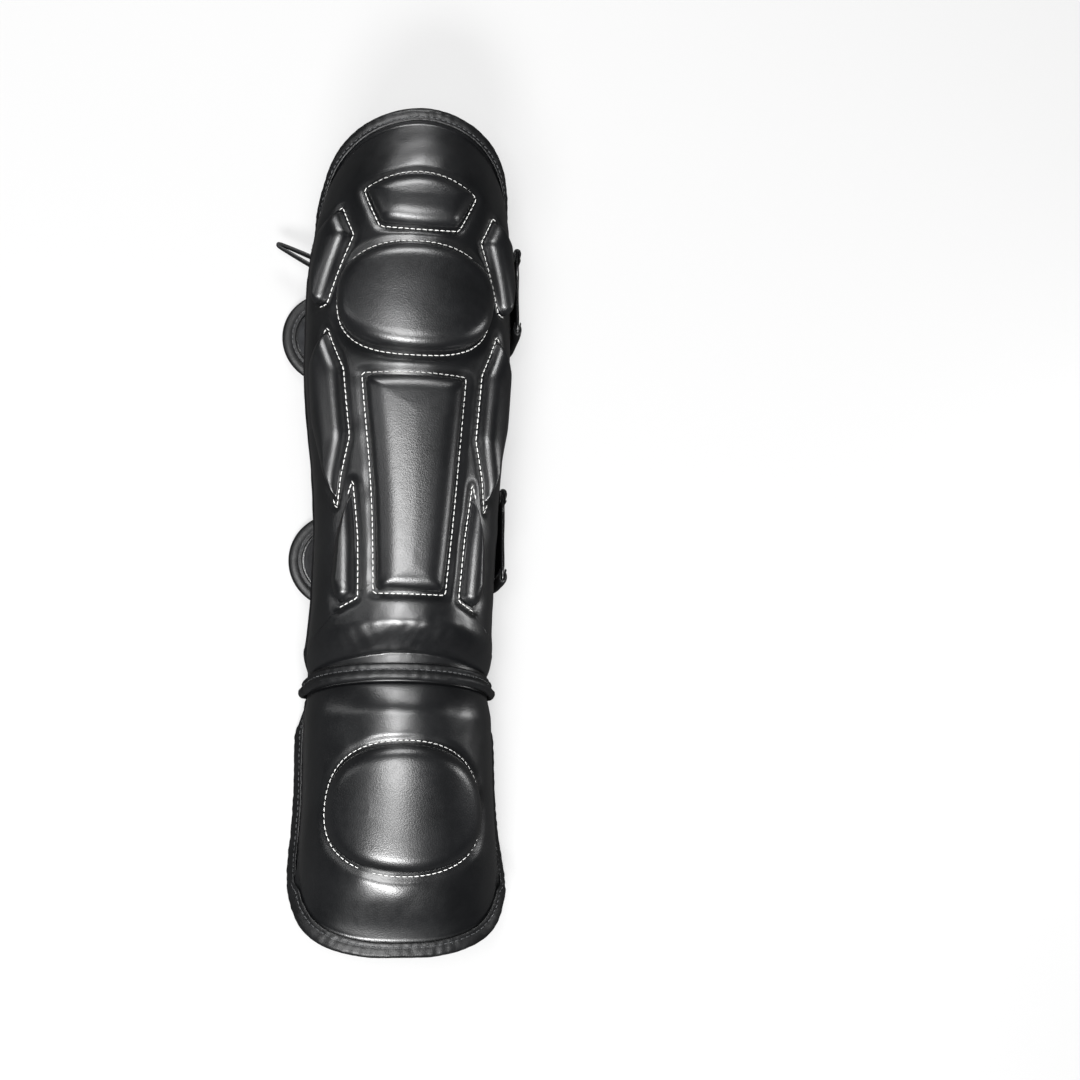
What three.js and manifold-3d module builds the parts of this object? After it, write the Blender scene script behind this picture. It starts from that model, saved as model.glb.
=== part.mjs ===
// A shin and instep guard of the kind worn for kick boxing, lying on its straps with its front up.
// A foam-filled leather shell is wrapped round the shin, a second one covers the instep, and the two
// meet at an ankle seam. Raised pads are sewn on the front. Tabs on the side walls carry two wide
// hook-and-loop straps, and two elastic bands hold the heel and the foot.
// +Y runs from the toe to the knee, +Z from the floor to the front of the guard. Sizes are millimetres.
import * as THREE from "three";
import Module from "manifold-3d";

const wasm = await Module();
wasm.setup();

// Driving dimensions of the shell
const shinLength = 294; // ankle seam to the knee end
const instepLength = 129; // ankle seam to the toe end
const hollowWidth = 92; // inside width at the calf
const hollowHeight = 72; // floor to the crest of the hollow
const kneeArch = 90; // how far back the rounded knee end reaches
const toeArch = 60; // how far back the rounded toe end reaches
const kneePower = 1.8; // of the super-ellipses that round the two ends
const toePower = 2.15;
const seamRise = 9; // how much higher the ankle seam runs at the crest
const seamCorner = 10; // radius of the shell's corners at the ankle seam
const seamGap = 0.6; // between the two shells, under the ankle band

// Thickness of the padding, and of the leather and cloth round it
const shinCrestFoam = 17;
const shinSideFoam = 10.5;
const instepCrestFoam = 12;
const instepSideFoam = 7;
const edgeFoam = 2.4; // where the edge binding grips the shell
const liningThick = 1.2;
const bindingWall = 1.4;
const bindingReach = 6.5; // how far the binding covers the shell's edge
const gap = 0.3; // between pieces that lie on each other

// Raised pads
const padRise = 6.5; // of the shin pads above the shell
const padLip = 1.1; // thickness of a pad where it is sewn down
const padShoulder = 9; // how far in from its seam a pad reaches its height
const padRoot = 4; // how deep a pad's body starts before it is cut to the shell
const padEdgeStep = 16; // between points on a cornered pad's edges
const padCornerCut = 1.5;

// Straps, the tabs that carry them, and the small pieces on them
const strapWidth = 50;
const strapThick = 1.6;
const strapBindingWall = 1;
const strapBindingReach = 6;
const strapOverhang = 9; // of the round tip past the side wall
const strapRootAngle = 92; // degrees round from the crest where the strap is sewn to the side wall
const rootTabLength = 84;
const rootTabWidth = 26;
const tipTabLength = 66;
const tipTabWidth = 17;
const tabThick = 2;
const tabHem = 3.6; // thickness of the rolled hem on a tab's free edge
const tabHemWidth = 6;
const tabFold = 5; // radius of the fold from the side wall to the tab
const patchThick = 1.2; // of the hook and loop patches
const patchMargin = 8; // from a hook patch to the strap's edge
const hookPatchBack = 14; // how far a hook patch goes back from the start of the round tip

// Elastic bands and the hanging loop
const elasticThick = 1.2;
const ankleElasticWidth = 24;
const footElasticWidth = 44;
const elasticTurnUp = 13; // how far the ends run up the side walls
const ankleBandWidth = 8;
const ankleBandThick = 2.6;
const loopLength = 30;
const loopWidth = 4;
const loopThick = 1.4;
const loopSpread = 5; // between the two ends of the loop
const loopBeyondTab = 3.9; // from the end of the upper tip tab to the loop

// Heights that follow from the stack of pieces under the side walls
const strapStack = strapThick + 2 * (1.5 * gap + strapBindingWall);
const tabHeight = strapStack + gap + patchThick + gap;
const shinEdgeHeight = tabHeight + tabHem + tabFold + bindingWall + gap;
const instepEdgeHeight = bindingWall + 3 * gap;
const girthRadius = hollowWidth / 2 + 4; // turns degrees round the guard into millimetres
const flange = bindingReach + gap;
const seamFlange = ankleBandWidth / 2 + 1.5;
const degree = Math.PI / 180;

// The hollow's cross-sections from the toe to the knee. at is a share of the instep's length below
// zero and of the shin's above it; width, crest and widest are shares of the hollow's half width and
// height; angle is where the side wall ends; lift goes from the instep's edge height to the shin's;
// lean is how far the section lies to the right, as a share of the half width, because the guard
// isn't quite straight.
const sections = [
  { at: -1.0, width: 1.05, crest: 0.51, widest: 0.24, angle: 103, lift: 0, lean: 0.017 },
  { at: -0.74, width: 1.03, crest: 0.64, widest: 0.25, angle: 104, lift: 0, lean: 0.026 },
  { at: -0.44, width: 0.97, crest: 0.72, widest: 0.28, angle: 105, lift: 0, lean: 0.009 },
  { at: -0.18, width: 0.95, crest: 0.77, widest: 0.33, angle: 105, lift: 0.06, lean: -0.017 },
  { at: 0, width: 0.94, crest: 0.81, widest: 0.39, angle: 105, lift: 0.4, lean: -0.039 },
  { at: 0.1, width: 0.85, crest: 0.88, widest: 0.44, angle: 108, lift: 0.85, lean: -0.039 },
  { at: 0.31, width: 0.85, crest: 0.95, widest: 0.49, angle: 110, lift: 1, lean: -0.013 },
  { at: 0.55, width: 0.97, crest: 0.99, widest: 0.51, angle: 112, lift: 1, lean: -0.035 },
  { at: 0.76, width: 0.97, crest: 1.0, widest: 0.53, angle: 112, lift: 1, lean: -0.022 },
  { at: 1.0, width: 0.96, crest: 0.97, widest: 0.53, angle: 112, lift: 1, lean: 0.048 },
];

const along = (at) => at * (at < 0 ? instepLength : shinLength);
const round = (angle) => angle * degree * girthRadius;
const clamp = THREE.MathUtils.clamp;
const mix = THREE.MathUtils.lerp;

// A smooth curve through one column of the table, at the height y.
function column(name, y) {
  const last = sections.length - 1;
  const at = clamp(y, along(sections[0].at), along(sections[last].at));
  let i = 0;
  while (i < last - 1 && along(sections[i + 1].at) < at) i++;
  const y0 = along(sections[i].at);
  const y1 = along(sections[i + 1].at);
  const slope = (k) => {
    const a = sections[Math.max(k - 1, 0)];
    const b = sections[Math.min(k + 1, last)];
    return (b[name] - a[name]) / (along(b.at) - along(a.at));
  };
  const t = (at - y0) / (y1 - y0);
  const h = y1 - y0;
  return (
    (2 * t ** 3 - 3 * t ** 2 + 1) * sections[i][name] +
    (t ** 3 - 2 * t ** 2 + t) * h * slope(i) +
    (3 * t ** 2 - 2 * t ** 3) * sections[i + 1][name] +
    (t ** 3 - t ** 2) * h * slope(i + 1)
  );
}

// The side wall's end at the height y, as a length round the guard from its crest.
const wallEnd = (y) => round(column("angle", y));

// A point of the hollow's surface: s is the length round from the crest, y the height on the guard.
function hollow(s, y) {
  const angle = s / girthRadius;
  const width = (column("width", y) * hollowWidth) / 2;
  const crest = column("crest", y) * hollowHeight;
  const widest = column("widest", y) * hollowHeight;
  const edge = mix(instepEdgeHeight, shinEdgeHeight, column("lift", y));
  const below = (widest - edge) / -Math.cos(column("angle", y) * degree);
  const tall = Math.cos(angle) >= 0 ? crest - widest : below;
  const across = (column("lean", y) * hollowWidth) / 2 + width * Math.sin(angle);
  return new THREE.Vector3(across, y, widest + tall * Math.cos(angle));
}

const STEP = 0.5;
const roundwards = (s, y) => hollow(s + STEP, y).sub(hollow(s - STEP, y)).divideScalar(2 * STEP);
const lengthwards = (s, y) => hollow(s, y + STEP).sub(hollow(s, y - STEP)).divideScalar(2 * STEP);
const outwards = (s, y) => roundwards(s, y).cross(lengthwards(s, y)).normalize();

// The point that lies h above the hollow's surface.
const place = (s, y, h) => hollow(s, y).addScaledVector(outwards(s, y), h);

// The length round the guard at which a point lies that many millimetres up the side wall.
const upWall = (y, distance) => wallEnd(y) - distance / roundwards(wallEnd(y), y).length();

// Outlines of the two shells, as lists of {s, y}. They run the same way on both halves.
const seamHalf = wallEnd(0) - seamCorner;
const seamHeight = (s) => seamRise * (1 - (s / seamHalf) ** 2);
const superEllipse = (turn, power) => Math.sign(turn) * Math.abs(turn) ** (2 / power);

// One half of a shell's outline, from the seam's middle to the round end's middle. side is 1 on the
// shin and -1 on the instep.
function halfOutline(side, length, arch, power, steps) {
  const half = [];
  const start = side * (seamGap / 2);
  const straightEnd = side * (length - arch);
  for (let i = 0; i < steps.seam; i++) {
    const s = (seamHalf * i) / steps.seam;
    half.push({ s, y: start + seamHeight(s) });
  }
  for (let i = 0; i <= steps.corner; i++) {
    const turn = (i / steps.corner) * 90 * degree;
    half.push({
      s: seamHalf + seamCorner * Math.sin(turn),
      y: start + side * seamCorner * (1 - Math.cos(turn)),
    });
  }
  for (let i = 1; i <= steps.wall; i++) {
    const y = mix(start + side * seamCorner, straightEnd, i / steps.wall);
    half.push({ s: wallEnd(y), y });
  }
  for (let i = 1; i <= steps.arch; i++) {
    const turn = (i / steps.arch) * 90 * degree;
    const y = straightEnd + side * arch * superEllipse(Math.sin(turn), power);
    const share = i === steps.arch ? 0 : superEllipse(Math.cos(turn), power);
    half.push({ s: wallEnd(y) * share, y });
  }
  return half;
}

const mirrored = (half) => [...half, ...half.slice(1, -1).reverse().map((p) => ({ s: -p.s, y: p.y }))];

function distanceTo(list, s, y) {
  const perS = roundwards(s, y).length();
  let least = Infinity;
  for (let i = 0; i + 1 < list.length; i++) {
    const [a, b] = [list[i], list[i + 1]];
    const [ds, dy] = [(b.s - a.s) * perS, b.y - a.y];
    const [ps, py] = [(s - a.s) * perS, y - a.y];
    const t = clamp((ps * ds + py * dy) / (ds * ds + dy * dy), 0, 1);
    least = Math.min(least, Math.hypot(ps - t * ds, py - t * dy));
  }
  return least;
}

const quarterRound = (share) => Math.sqrt(1 - (1 - clamp(share, 0, 1)) ** 2);

// A shell: its outline, the middle line that its rings close on, and its padding.
function makePanel(side, length, arch, power, steps, middle, foam) {
  const half = halfOutline(side, length, arch, power, steps);
  const free = half.slice(steps.seam);
  const padding = (s, y) => {
    const facing = Math.max(Math.cos(s / girthRadius), 0) ** 2;
    const full = mix(foam.side, foam.crest, facing);
    const fromEdge = (distanceTo(free, Math.abs(s), y) - flange - 3 * gap) / foam.taper;
    const seamLine = (side * seamGap) / 2 + seamHeight(s);
    const fromSeam = (side * (y - seamLine) - seamFlange) / foam.seamTaper;
    return mix(edgeFoam, full, quarterRound(fromEdge) * quarterRound(fromSeam));
  };
  return { side, half, outline: mirrored(half), middle: middle.map(along), padding, steps };
}

const shin = makePanel(
  1, shinLength, kneeArch, kneePower, { seam: 7, corner: 2, wall: 9, arch: 9 }, [0.22, 0.72],
  { crest: shinCrestFoam, side: shinSideFoam, taper: 20, seamTaper: 18 },
);
const instep = makePanel(
  -1, instepLength, toeArch, toePower, { seam: 7, corner: 2, wall: 4, arch: 9 }, [-0.5, -0.36],
  { crest: instepCrestFoam, side: instepSideFoam, taper: 16, seamTaper: 14 },
);

// The unit step into the panel, square to its outline, in millimetres round and along the guard.
function inward(panel, i) {
  const list = panel.outline;
  const before = list[(i + list.length - 1) % list.length];
  const after = list[(i + 1) % list.length];
  const here = list[i];
  const perS = roundwards(here.s, here.y).length();
  const perY = lengthwards(here.s, here.y).length();
  const [ds, dy] = [(after.s - before.s) * perS, (after.y - before.y) * perY];
  const size = Math.hypot(ds, dy) * panel.side;
  return { s: -dy / size / perS, y: ds / size / perY };
}

// Rings of {s, y} from the outline to the panel's middle line. The first step is the flat edge that
// the binding or the ankle band covers.
function panelRings(panel, beyondFlange) {
  const [low, high] = [Math.min(...panel.middle), Math.max(...panel.middle)];
  const count = panel.outline.length;
  const stepped = panel.outline.map((p, i) => {
    const into = inward(panel, i);
    const atSeam = Math.min(i, count - i) < panel.steps.seam;
    const step = atSeam ? seamFlange : flange;
    return { s: p.s + into.s * step, y: p.y + into.y * step };
  });
  const rings = [panel.outline, stepped];
  for (const share of beyondFlange)
    rings.push(stepped.map((p, i) => {
      const y = clamp(panel.outline[i].y, low, high);
      return { s: mix(p.s, 0, share), y: mix(p.y, y, share) };
    }));
  return rings;
}

// A closed body from a list of closed rings of points. Its ends are capped, unless it runs round to
// its own start or its end rings have closed on themselves. Quads are split along one diagonal, and
// along the other one at the ring places listed in turned.
function loft(rings, { endless = false, cap = null, turned = [] } = {}) {
  const points = [];
  const seen = new Map();
  const index = (p) => {
    const key = [p.x, p.y, p.z].map((v) => Math.round(v * 1000)).join();
    if (!seen.has(key)) seen.set(key, points.push(p) - 1);
    return seen.get(key);
  };
  const faces = [];
  const add = (a, b, c) => {
    if (a !== b && b !== c && a !== c) faces.push([a, b, c]);
  };
  const count = rings[0].length;
  const ids = rings.map((ring) => ring.map(index));
  const last = endless ? rings.length : rings.length - 1;
  for (let i = 0; i < last; i++) {
    const [a, b] = [ids[i], ids[(i + 1) % rings.length]];
    for (let k = 0; k < count; k++) {
      const next = (k + 1) % count;
      const [corner, across] = turned.includes(k) ? [b[k], a[next]] : [a[k], b[next]];
      add(a[k], b[k], across);
      add(b[next], a[next], corner);
    }
  }
  if (cap)
    for (const [a, b, c] of THREE.ShapeUtils.triangulateShape(cap, [])) {
      const sameWay = THREE.ShapeUtils.area([cap[a], cap[b], cap[c]]) * THREE.ShapeUtils.area(cap) > 0;
      const [first, second] = sameWay ? [b, c] : [c, b];
      add(ids[0][a], ids[0][first], ids[0][second]);
      add(ids[last][a], ids[last][second], ids[last][first]);
    }
  return bodyOf(points, faces);
}

// Turns points and triangles into a solid with its faces pointing out.
function bodyOf(points, faces) {
  let volume = 0;
  for (const [a, b, c] of faces)
    volume += points[a].dot(new THREE.Vector3().crossVectors(points[b], points[c]));
  const ordered = volume > 0 ? faces : faces.map(([a, b, c]) => [a, c, b]);
  return new wasm.Manifold(new wasm.Mesh({
    numProp: 3,
    vertProperties: new Float32Array(points.flatMap((p) => [p.x, p.y, p.z])),
    triVerts: new Uint32Array(ordered.flat()),
  }));
}

// The body between two heights over a list of rings. low and high are functions of s and y.
function layer(rings, low, high, lowRings = rings) {
  const top = rings.map((ring) => ring.map((p) => place(p.s, p.y, high(p.s, p.y))));
  const bottom = lowRings.map((ring) => ring.map((p) => place(p.s, p.y, low(p.s, p.y))));
  return loft([...top.reverse(), ...bottom]);
}

// The cross-section of a tape folded over an edge, in steps out of the sheet and up from its middle.
// thick is what the tape grips.
function tapeProfile(thick, wall, reach) {
  const inner = thick / 2 + 1.5 * gap;
  const outer = inner + wall;
  const nose = 1.5 * gap;
  return [
    [-reach, inner], [-reach, outer], [nose, outer], [nose + wall, 0], [nose, -outer],
    [-reach, -outer], [-reach, -inner], [nose, -inner], [nose, inner],
  ].map(([x, y]) => new THREE.Vector2(x, y));
}

const materials = {
  leather: new THREE.MeshStandardMaterial({ color: 0x17181a, roughness: 0.42, metalness: 0 }),
  tape: new THREE.MeshStandardMaterial({ color: 0x1b1c1e, roughness: 0.55, metalness: 0 }),
  lining: new THREE.MeshStandardMaterial({ color: 0x141618, roughness: 0.7, metalness: 0 }),
  elastic: new THREE.MeshStandardMaterial({ color: 0x202123, roughness: 0.9, metalness: 0 }),
  hookLoop: new THREE.MeshStandardMaterial({ color: 0x101112, roughness: 0.95, metalness: 0 }),
};

const guard = new THREE.Group();

function addPiece(name, solid, material) {
  const { vertProperties, triVerts } = solid.getMesh();
  const geometry = new THREE.BufferGeometry()
    .setAttribute("position", new THREE.BufferAttribute(vertProperties, 3))
    .setIndex(new THREE.BufferAttribute(triVerts, 1));
  geometry.computeVertexNormals();
  const mesh = new THREE.Mesh(geometry, material);
  mesh.name = name;
  guard.add(mesh);
}

// Shells and linings
const frontRings = [0.04, 0.1, 0.2, 0.36, 0.54, 0.76, 1];
const hollowRings = [0.14, 0.38, 0.68, 1];
const instepFrontRings = [0.07, 0.17, 0.34, 0.55, 0.78, 1];
const instepHollowRings = [0.16, 0.42, 0.7, 1];
const onHollow = () => 0;

function shellBody(panel, front, back, grow = 0) {
  const lift = (s, y) => panel.padding(s, y) + grow;
  return layer(panelRings(panel, front), onHollow, lift, panelRings(panel, back));
}

function liningBody(panel, back) {
  const rings = panelRings(panel, back);
  return layer(rings, () => -gap, () => -gap - liningThick);
}

addPiece("shin_shell", shellBody(shin, frontRings, hollowRings), materials.leather);
addPiece("instep_shell", shellBody(instep, instepFrontRings, instepHollowRings), materials.leather);
addPiece("shin_lining", liningBody(shin, hollowRings), materials.lining);
addPiece("instep_lining", liningBody(instep, instepHollowRings), materials.lining);

// Edge bindings. Each runs from one corner of the ankle seam round the open edges to the other, and
// lies along the shell's surface.
const gripped = edgeFoam + gap + liningThick;
const grippedMiddle = (edgeFoam - gap - liningThick) / 2;

function edgeBinding(panel) {
  const profile = tapeProfile(gripped, bindingWall, bindingReach);
  const list = panel.outline;
  const first = panel.steps.seam + 1;
  const picked = list.map((_, i) => i).slice(first, list.length - first + 1);
  const rings = picked.map((i) => {
    const { s, y } = list[i];
    const into = inward(panel, i);
    const out = roundwards(s, y).multiplyScalar(-into.s).addScaledVector(lengthwards(s, y), -into.y);
    return profile.map((q) => {
      const back = Math.max(-q.x, 0);
      const on = place(s + into.s * back, y + into.y * back, grippedMiddle + q.y);
      return on.addScaledVector(out, Math.max(q.x, 0));
    });
  });
  return loft(rings, { cap: profile, turned: [profile.length - 2, profile.length - 1] });
}

addPiece("shin_binding", edgeBinding(shin), materials.tape);
addPiece("instep_binding", edgeBinding(instep), materials.tape);

// The middle of the shin shell's edge at the height y, between the leather and the lining
function shinEdge(side, y) {
  const archShare = clamp((y - shinLength + kneeArch) / kneeArch, 0, 1);
  const share = (1 - archShare ** kneePower) ** (1 / kneePower);
  return place(side * wallEnd(y) * share, y, grippedMiddle);
}

// The band that covers the ankle seam from side to side
function ankleBand() {
  const steps = 18;
  const low = edgeFoam + 2 * gap;
  const profile = [
    [-ankleBandWidth / 2, 0], [-ankleBandWidth * 0.36, ankleBandThick],
    [ankleBandWidth * 0.36, ankleBandThick], [ankleBandWidth / 2, 0],
  ].map(([x, y]) => new THREE.Vector2(x, y));
  const rings = [];
  for (let i = 0; i <= steps; i++) {
    const s = mix(-seamHalf, seamHalf, i / steps);
    const y = seamHeight(s);
    rings.push(profile.map((q) => place(s, y + q.x, low + q.y)));
  }
  return loft(rings, { cap: profile });
}
addPiece("ankle_band", ankleBand(), materials.tape);

// Raised pads. around is in degrees from the crest, along is a share of the shell's length, and bend
// bows the edge that starts at the corner by that share of the edge's length.
const bowedBar = [
  { around: 27.5, along: 0.523 }, { around: 20, along: 0.157 },
  { around: -20, along: 0.157 }, { around: -27.5, along: 0.523 },
];
const topPad = [
  { around: 31.5, along: 0.841 }, { around: 20.5, along: 0.772, bend: 0.04 },
  { around: -20.5, along: 0.772 }, { around: -31.5, along: 0.841, bend: 0.165 },
];
const upperSidePad = [
  { around: 45, along: 0.817 }, { around: 35, along: 0.762 }, { around: 52, along: 0.649 },
  { around: 63, along: 0.647 }, { around: 70, along: 0.699 }, { around: 66, along: 0.782 },
];
const middleSidePad = [
  { around: 51, along: 0.610 }, { around: 38.5, along: 0.534 }, { around: 36, along: 0.419 },
  { around: 43.5, along: 0.353 }, { around: 47, along: 0.299 }, { around: 58, along: 0.360 },
  { around: 68, along: 0.448 }, { around: 68, along: 0.551 },
];
const lowerSidePad = [
  { around: 35, along: 0.346 }, { around: 31, along: 0.251 }, { around: 29, along: 0.149 },
  { around: 42, along: 0.132 }, { around: 50, along: 0.173 }, { around: 47, along: 0.256 },
];

const opposite = (corners) =>
  corners.map((c, i) => {
    const edge = corners[(corners.length - 1 + i) % corners.length];
    return { around: -c.around, along: c.along, bend: edge.bend };
  }).reverse();

// The outline of a cornered pad, with a few points along each bowed edge.
function corneredOutline(corners, length) {
  const points = [];
  corners.forEach((corner, i) => {
    const next = corners[(i + 1) % corners.length];
    const a = new THREE.Vector2(round(corner.around), corner.along * length);
    const b = new THREE.Vector2(round(next.around), next.along * length);
    const run = b.clone().sub(a);
    const side = new THREE.Vector2(-run.y, run.x).normalize();
    const steps = Math.max(Math.round(run.length() / padEdgeStep), 1);
    const cut = Math.min(padCornerCut / run.length(), 0.2);
    for (let k = 0; k <= steps; k++) {
      const t = mix(cut, 1 - cut, k / steps);
      const bow = (corner.bend ?? 0) * run.length() * 4 * t * (1 - t);
      const p = a.clone().addScaledVector(run, t).addScaledVector(side, bow);
      points.push({ s: p.x, y: p.y });
    }
  });
  return points;
}

// The outline of a round pad. It is a super-ellipse whose two halves may differ in height.
function roundOutline({ around, top, widest, foot, power }, length) {
  const count = 24;
  return Array.from({ length: count }, (_, i) => {
    const turn = (i / count) * 360 * degree;
    const rise = Math.sin(turn) > 0 ? top - widest : widest - foot;
    return {
      s: round(around) * superEllipse(Math.cos(turn), power),
      y: (widest + rise * superEllipse(Math.sin(turn), power)) * length,
    };
  });
}

// An outline as two chains of equally many points between its two ends on the line from a to b, with
// each point's centre on that line. Points that face each other share a centre.
function paired(outline, [a, b]) {
  const run = { s: b.s - a.s, y: b.y - a.y };
  const size = run.s ** 2 + run.y ** 2;
  const share = (p) => ((p.s - a.s) * run.s + (p.y - a.y) * run.y) / size;
  const shares = outline.map(share);
  const start = shares.indexOf(Math.min(...shares));
  const turned = [...outline.slice(start), ...outline.slice(0, start), outline[start]];
  const far = turned.map(share).indexOf(Math.max(...shares));
  const chains = [turned.slice(0, far + 1), turned.slice(far)];
  const count = Math.max(chains[0].length, chains[1].length);
  for (const chain of chains)
    while (chain.length < count) {
      const spans = chain.slice(1).map((p, i) => Math.hypot(p.s - chain[i].s, p.y - chain[i].y));
      const i = spans.indexOf(Math.max(...spans));
      const [p, q] = [chain[i], chain[i + 1]];
      chain.splice(i + 1, 0, { s: (p.s + q.s) / 2, y: (p.y + q.y) / 2 });
    }
  const ring = [...chains[0], ...chains[1].slice(1, -1)];
  return ring.map((p, i) => {
    const mate = ring[(ring.length - i) % ring.length];
    const t = clamp((share(p) + share(mate)) / 2, 0, 1);
    return { p, c: { s: a.s + t * run.s, y: a.y + t * run.y } };
  });
}

// A pad over an outline, closing on the line between two points. Its foot is cut to fit the shell.
function padBody(panel, outline, line, rise, cutter) {
  const ring = paired(outline, line);
  const ringAt = (inset, height) => ring.map(({ p, c }) => {
    const reach = Math.hypot(p.s - c.s, p.y - c.y);
    const t = Math.min(inset / reach, 1);
    const s = mix(p.s, c.s, t);
    const y = mix(p.y, c.y, t);
    return place(s, y, panel.padding(s, y) + height);
  });
  const lipTop = gap + padLip;
  const shoulder = (share) =>
    ringAt(padShoulder * share, lipTop + (rise - lipTop) * quarterRound(share));
  const whole = 1e3;
  const body = loft([
    ringAt(whole, rise), shoulder(1), shoulder(0.3), ringAt(0, lipTop),
    ringAt(0, -padRoot), ringAt(whole, -padRoot),
  ]);
  return body.subtract(cutter);
}

const shinCutter = shellBody(shin, frontRings, hollowRings, gap);
const instepCutter = shellBody(instep, instepFrontRings, instepHollowRings, gap);
const spot = (around, share, length) => ({ s: round(around), y: share * length });

function addShinPad(name, outline, line, rise = padRise) {
  const ends = line.map(([around, share]) => spot(around, share, shinLength));
  addPiece(name, padBody(shin, outline, ends, rise, shinCutter), materials.leather);
}

const kneeOval = { around: 44, top: 0.747, widest: 0.656, foot: 0.552, power: 2.3 };
const instepOval = { around: 50, top: -0.186, widest: -0.466, foot: -0.690, power: 2.1 };

addShinPad("top_pad", corneredOutline(topPad, shinLength), [[-14, 0.820], [14, 0.820]]);
addShinPad("knee_pad", roundOutline(kneeOval, shinLength), [[-14, 0.652], [14, 0.652]], padRise + 1.5);
addShinPad("shin_bar_pad", corneredOutline(bowedBar, shinLength), [[0, 0.232], [0, 0.448]]);
const sidePads = [
  ["upper_side_pad", upperSidePad, [[52, 0.772], [59, 0.674]]],
  ["middle_side_pad", middleSidePad, [[53, 0.546], [50, 0.379]]],
  ["lower_side_pad", lowerSidePad, [[37, 0.291], [40, 0.183]]],
];
for (const [name, corners, line] of sidePads) {
  const across = line.map(([around, share]) => [-around, share]);
  addShinPad(`${name}_right`, corneredOutline(corners, shinLength), line);
  addShinPad(`${name}_left`, corneredOutline(opposite(corners), shinLength), across);
}
addPiece(
  "instep_pad",
  padBody(
    instep, roundOutline(instepOval, instepLength),
    [spot(-18, -0.435, instepLength), spot(18, -0.435, instepLength)], padRise, instepCutter,
  ),
  materials.leather,
);

// Straps. root and tip are where the strap's middle crosses the two side walls, as shares of the
// shin's length, and clear is how many gaps the root keeps from the wall's furthest point. Each is
// sewn to the right wall, turns under it and runs along the floor to its tip.
const straps = [
  { name: "upper_strap", root: 0.718, tip: 0.635, clear: 2.3 },
  { name: "lower_strap", root: 0.277, tip: 0.23, clear: -0.8 },
];

// The furthest place of the shell's front at an angle, over the strap's whole width.
function wallFront(angle, y, lift) {
  const heights = [-0.5, 0, 0.5].map((share) => y + share * strapWidth);
  const found = heights.map((at) => place(round(angle), at, shin.padding(round(angle), at) + lift));
  const furthest = Math.max(...found.map((p) => p.x));
  return new THREE.Vector3(furthest, y, found[1].z);
}

// The middle of a strap from its sewn root to its tip, before the tip is rounded.
function strapPath({ root, tip, clear }) {
  const sewn = clear * gap + strapStack / 2;
  const loose = (clear + 3) * gap + strapStack / 2;
  const y = root * shinLength;
  const wall = [wallFront(strapRootAngle, y, sewn), wallFront(strapRootAngle + 5, y, loose)];
  const widest = wall[1];
  const floor = strapStack / 2;
  const turn = [[1.01, 0.62], [0.975, 0.3], [0.9, 0.08]].map(
    ([across, up]) => new THREE.Vector3(widest.x * across, y, mix(floor, widest.z, up)),
  );
  const tipEnd = -(hollow(-round(90), tip * shinLength).x * -1 + shinSideFoam + strapOverhang);
  const flat = [0.74, 0.4, 0, -0.4, -0.7].map((across) => new THREE.Vector3(widest.x * across, y, floor));
  const straightEnd = new THREE.Vector3(tipEnd + strapWidth / 2, y, floor);
  const path = [...wall, ...turn, ...flat.filter((p) => p.x > straightEnd.x + 4), straightEnd];
  const lengths = [0];
  for (let i = 1; i < path.length; i++)
    lengths.push(lengths[i - 1] + path[i].distanceTo(path[i - 1]));
  const whole = lengths.at(-1) + strapWidth / 2;
  path.forEach((p, i) => (p.y = mix(root, tip, lengths[i] / whole) * shinLength));
  return path;
}

// Frames along a strap: forward, up (away from the wearer) and across.
function strapFrames(path) {
  const last = path.length - 1;
  return path.map((point, i) => {
    const next = path[Math.min(i + 1, last)];
    const onFloor = i < last && next.z === point.z;
    const forward = next.clone().sub(onFloor ? point : path[Math.max(i - 1, 0)]).normalize();
    const up = new THREE.Vector3(-forward.z, 0, forward.x).normalize();
    return { point, forward, up, across: new THREE.Vector3().crossVectors(up, forward) };
  });
}

// Half widths of a strap at and past the end of its straight part, round its tip.
function tipStations(frames, halfWidth, steps) {
  const end = frames.at(-1);
  return Array.from({ length: steps }, (_, i) => {
    const turn = ((i + 1) / steps) * 90 * degree;
    return { ...end, advance: halfWidth * Math.sin(turn), half: halfWidth * Math.cos(turn) };
  });
}

const tipSteps = 5;

function strapBody(frames) {
  const halfWidth = strapWidth / 2 - strapBindingWall - gap;
  const straight = frames.map((f) => ({ ...f, advance: 0, half: halfWidth }));
  const stations = [...straight, ...tipStations(frames, halfWidth, tipSteps)];
  const corners = [[-1, -1], [-1, 1], [1, 1], [1, -1]];
  const rings = stations.map(({ point, forward, up, across, advance, half }) =>
    corners.map(([a, b]) => point.clone().addScaledVector(forward, advance)
      .addScaledVector(across, a * half).addScaledVector(up, (b * strapThick) / 2)));
  return loft(rings, { cap: corners.map(([a, b]) => new THREE.Vector2(a, b)) });
}

function strapTape(frames) {
  const halfWidth = strapWidth / 2 - strapBindingWall - gap;
  const side = (sign) => frames.map(({ point, up, across }) => ({
    point: point.clone().addScaledVector(across, sign * halfWidth),
    out: across.clone().multiplyScalar(sign), up,
  }));
  const { point, forward, up, across } = frames.at(-1);
  const tip = [];
  for (let i = 1; i < 2 * tipSteps; i++) {
    const turn = (i / (2 * tipSteps)) * 180 * degree;
    const out = across.clone().multiplyScalar(Math.cos(turn)).addScaledVector(forward, Math.sin(turn));
    tip.push({ point: point.clone().addScaledVector(out, halfWidth), out, up });
  }
  const profile = tapeProfile(strapThick, strapBindingWall, strapBindingReach);
  const rings = [...side(1), ...tip, ...side(-1).reverse()].map(({ point, out, up: lift }) =>
    profile.map((q) => point.clone().addScaledVector(out, q.x).addScaledVector(lift, q.y)));
  return loft(rings, { cap: profile });
}

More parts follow.
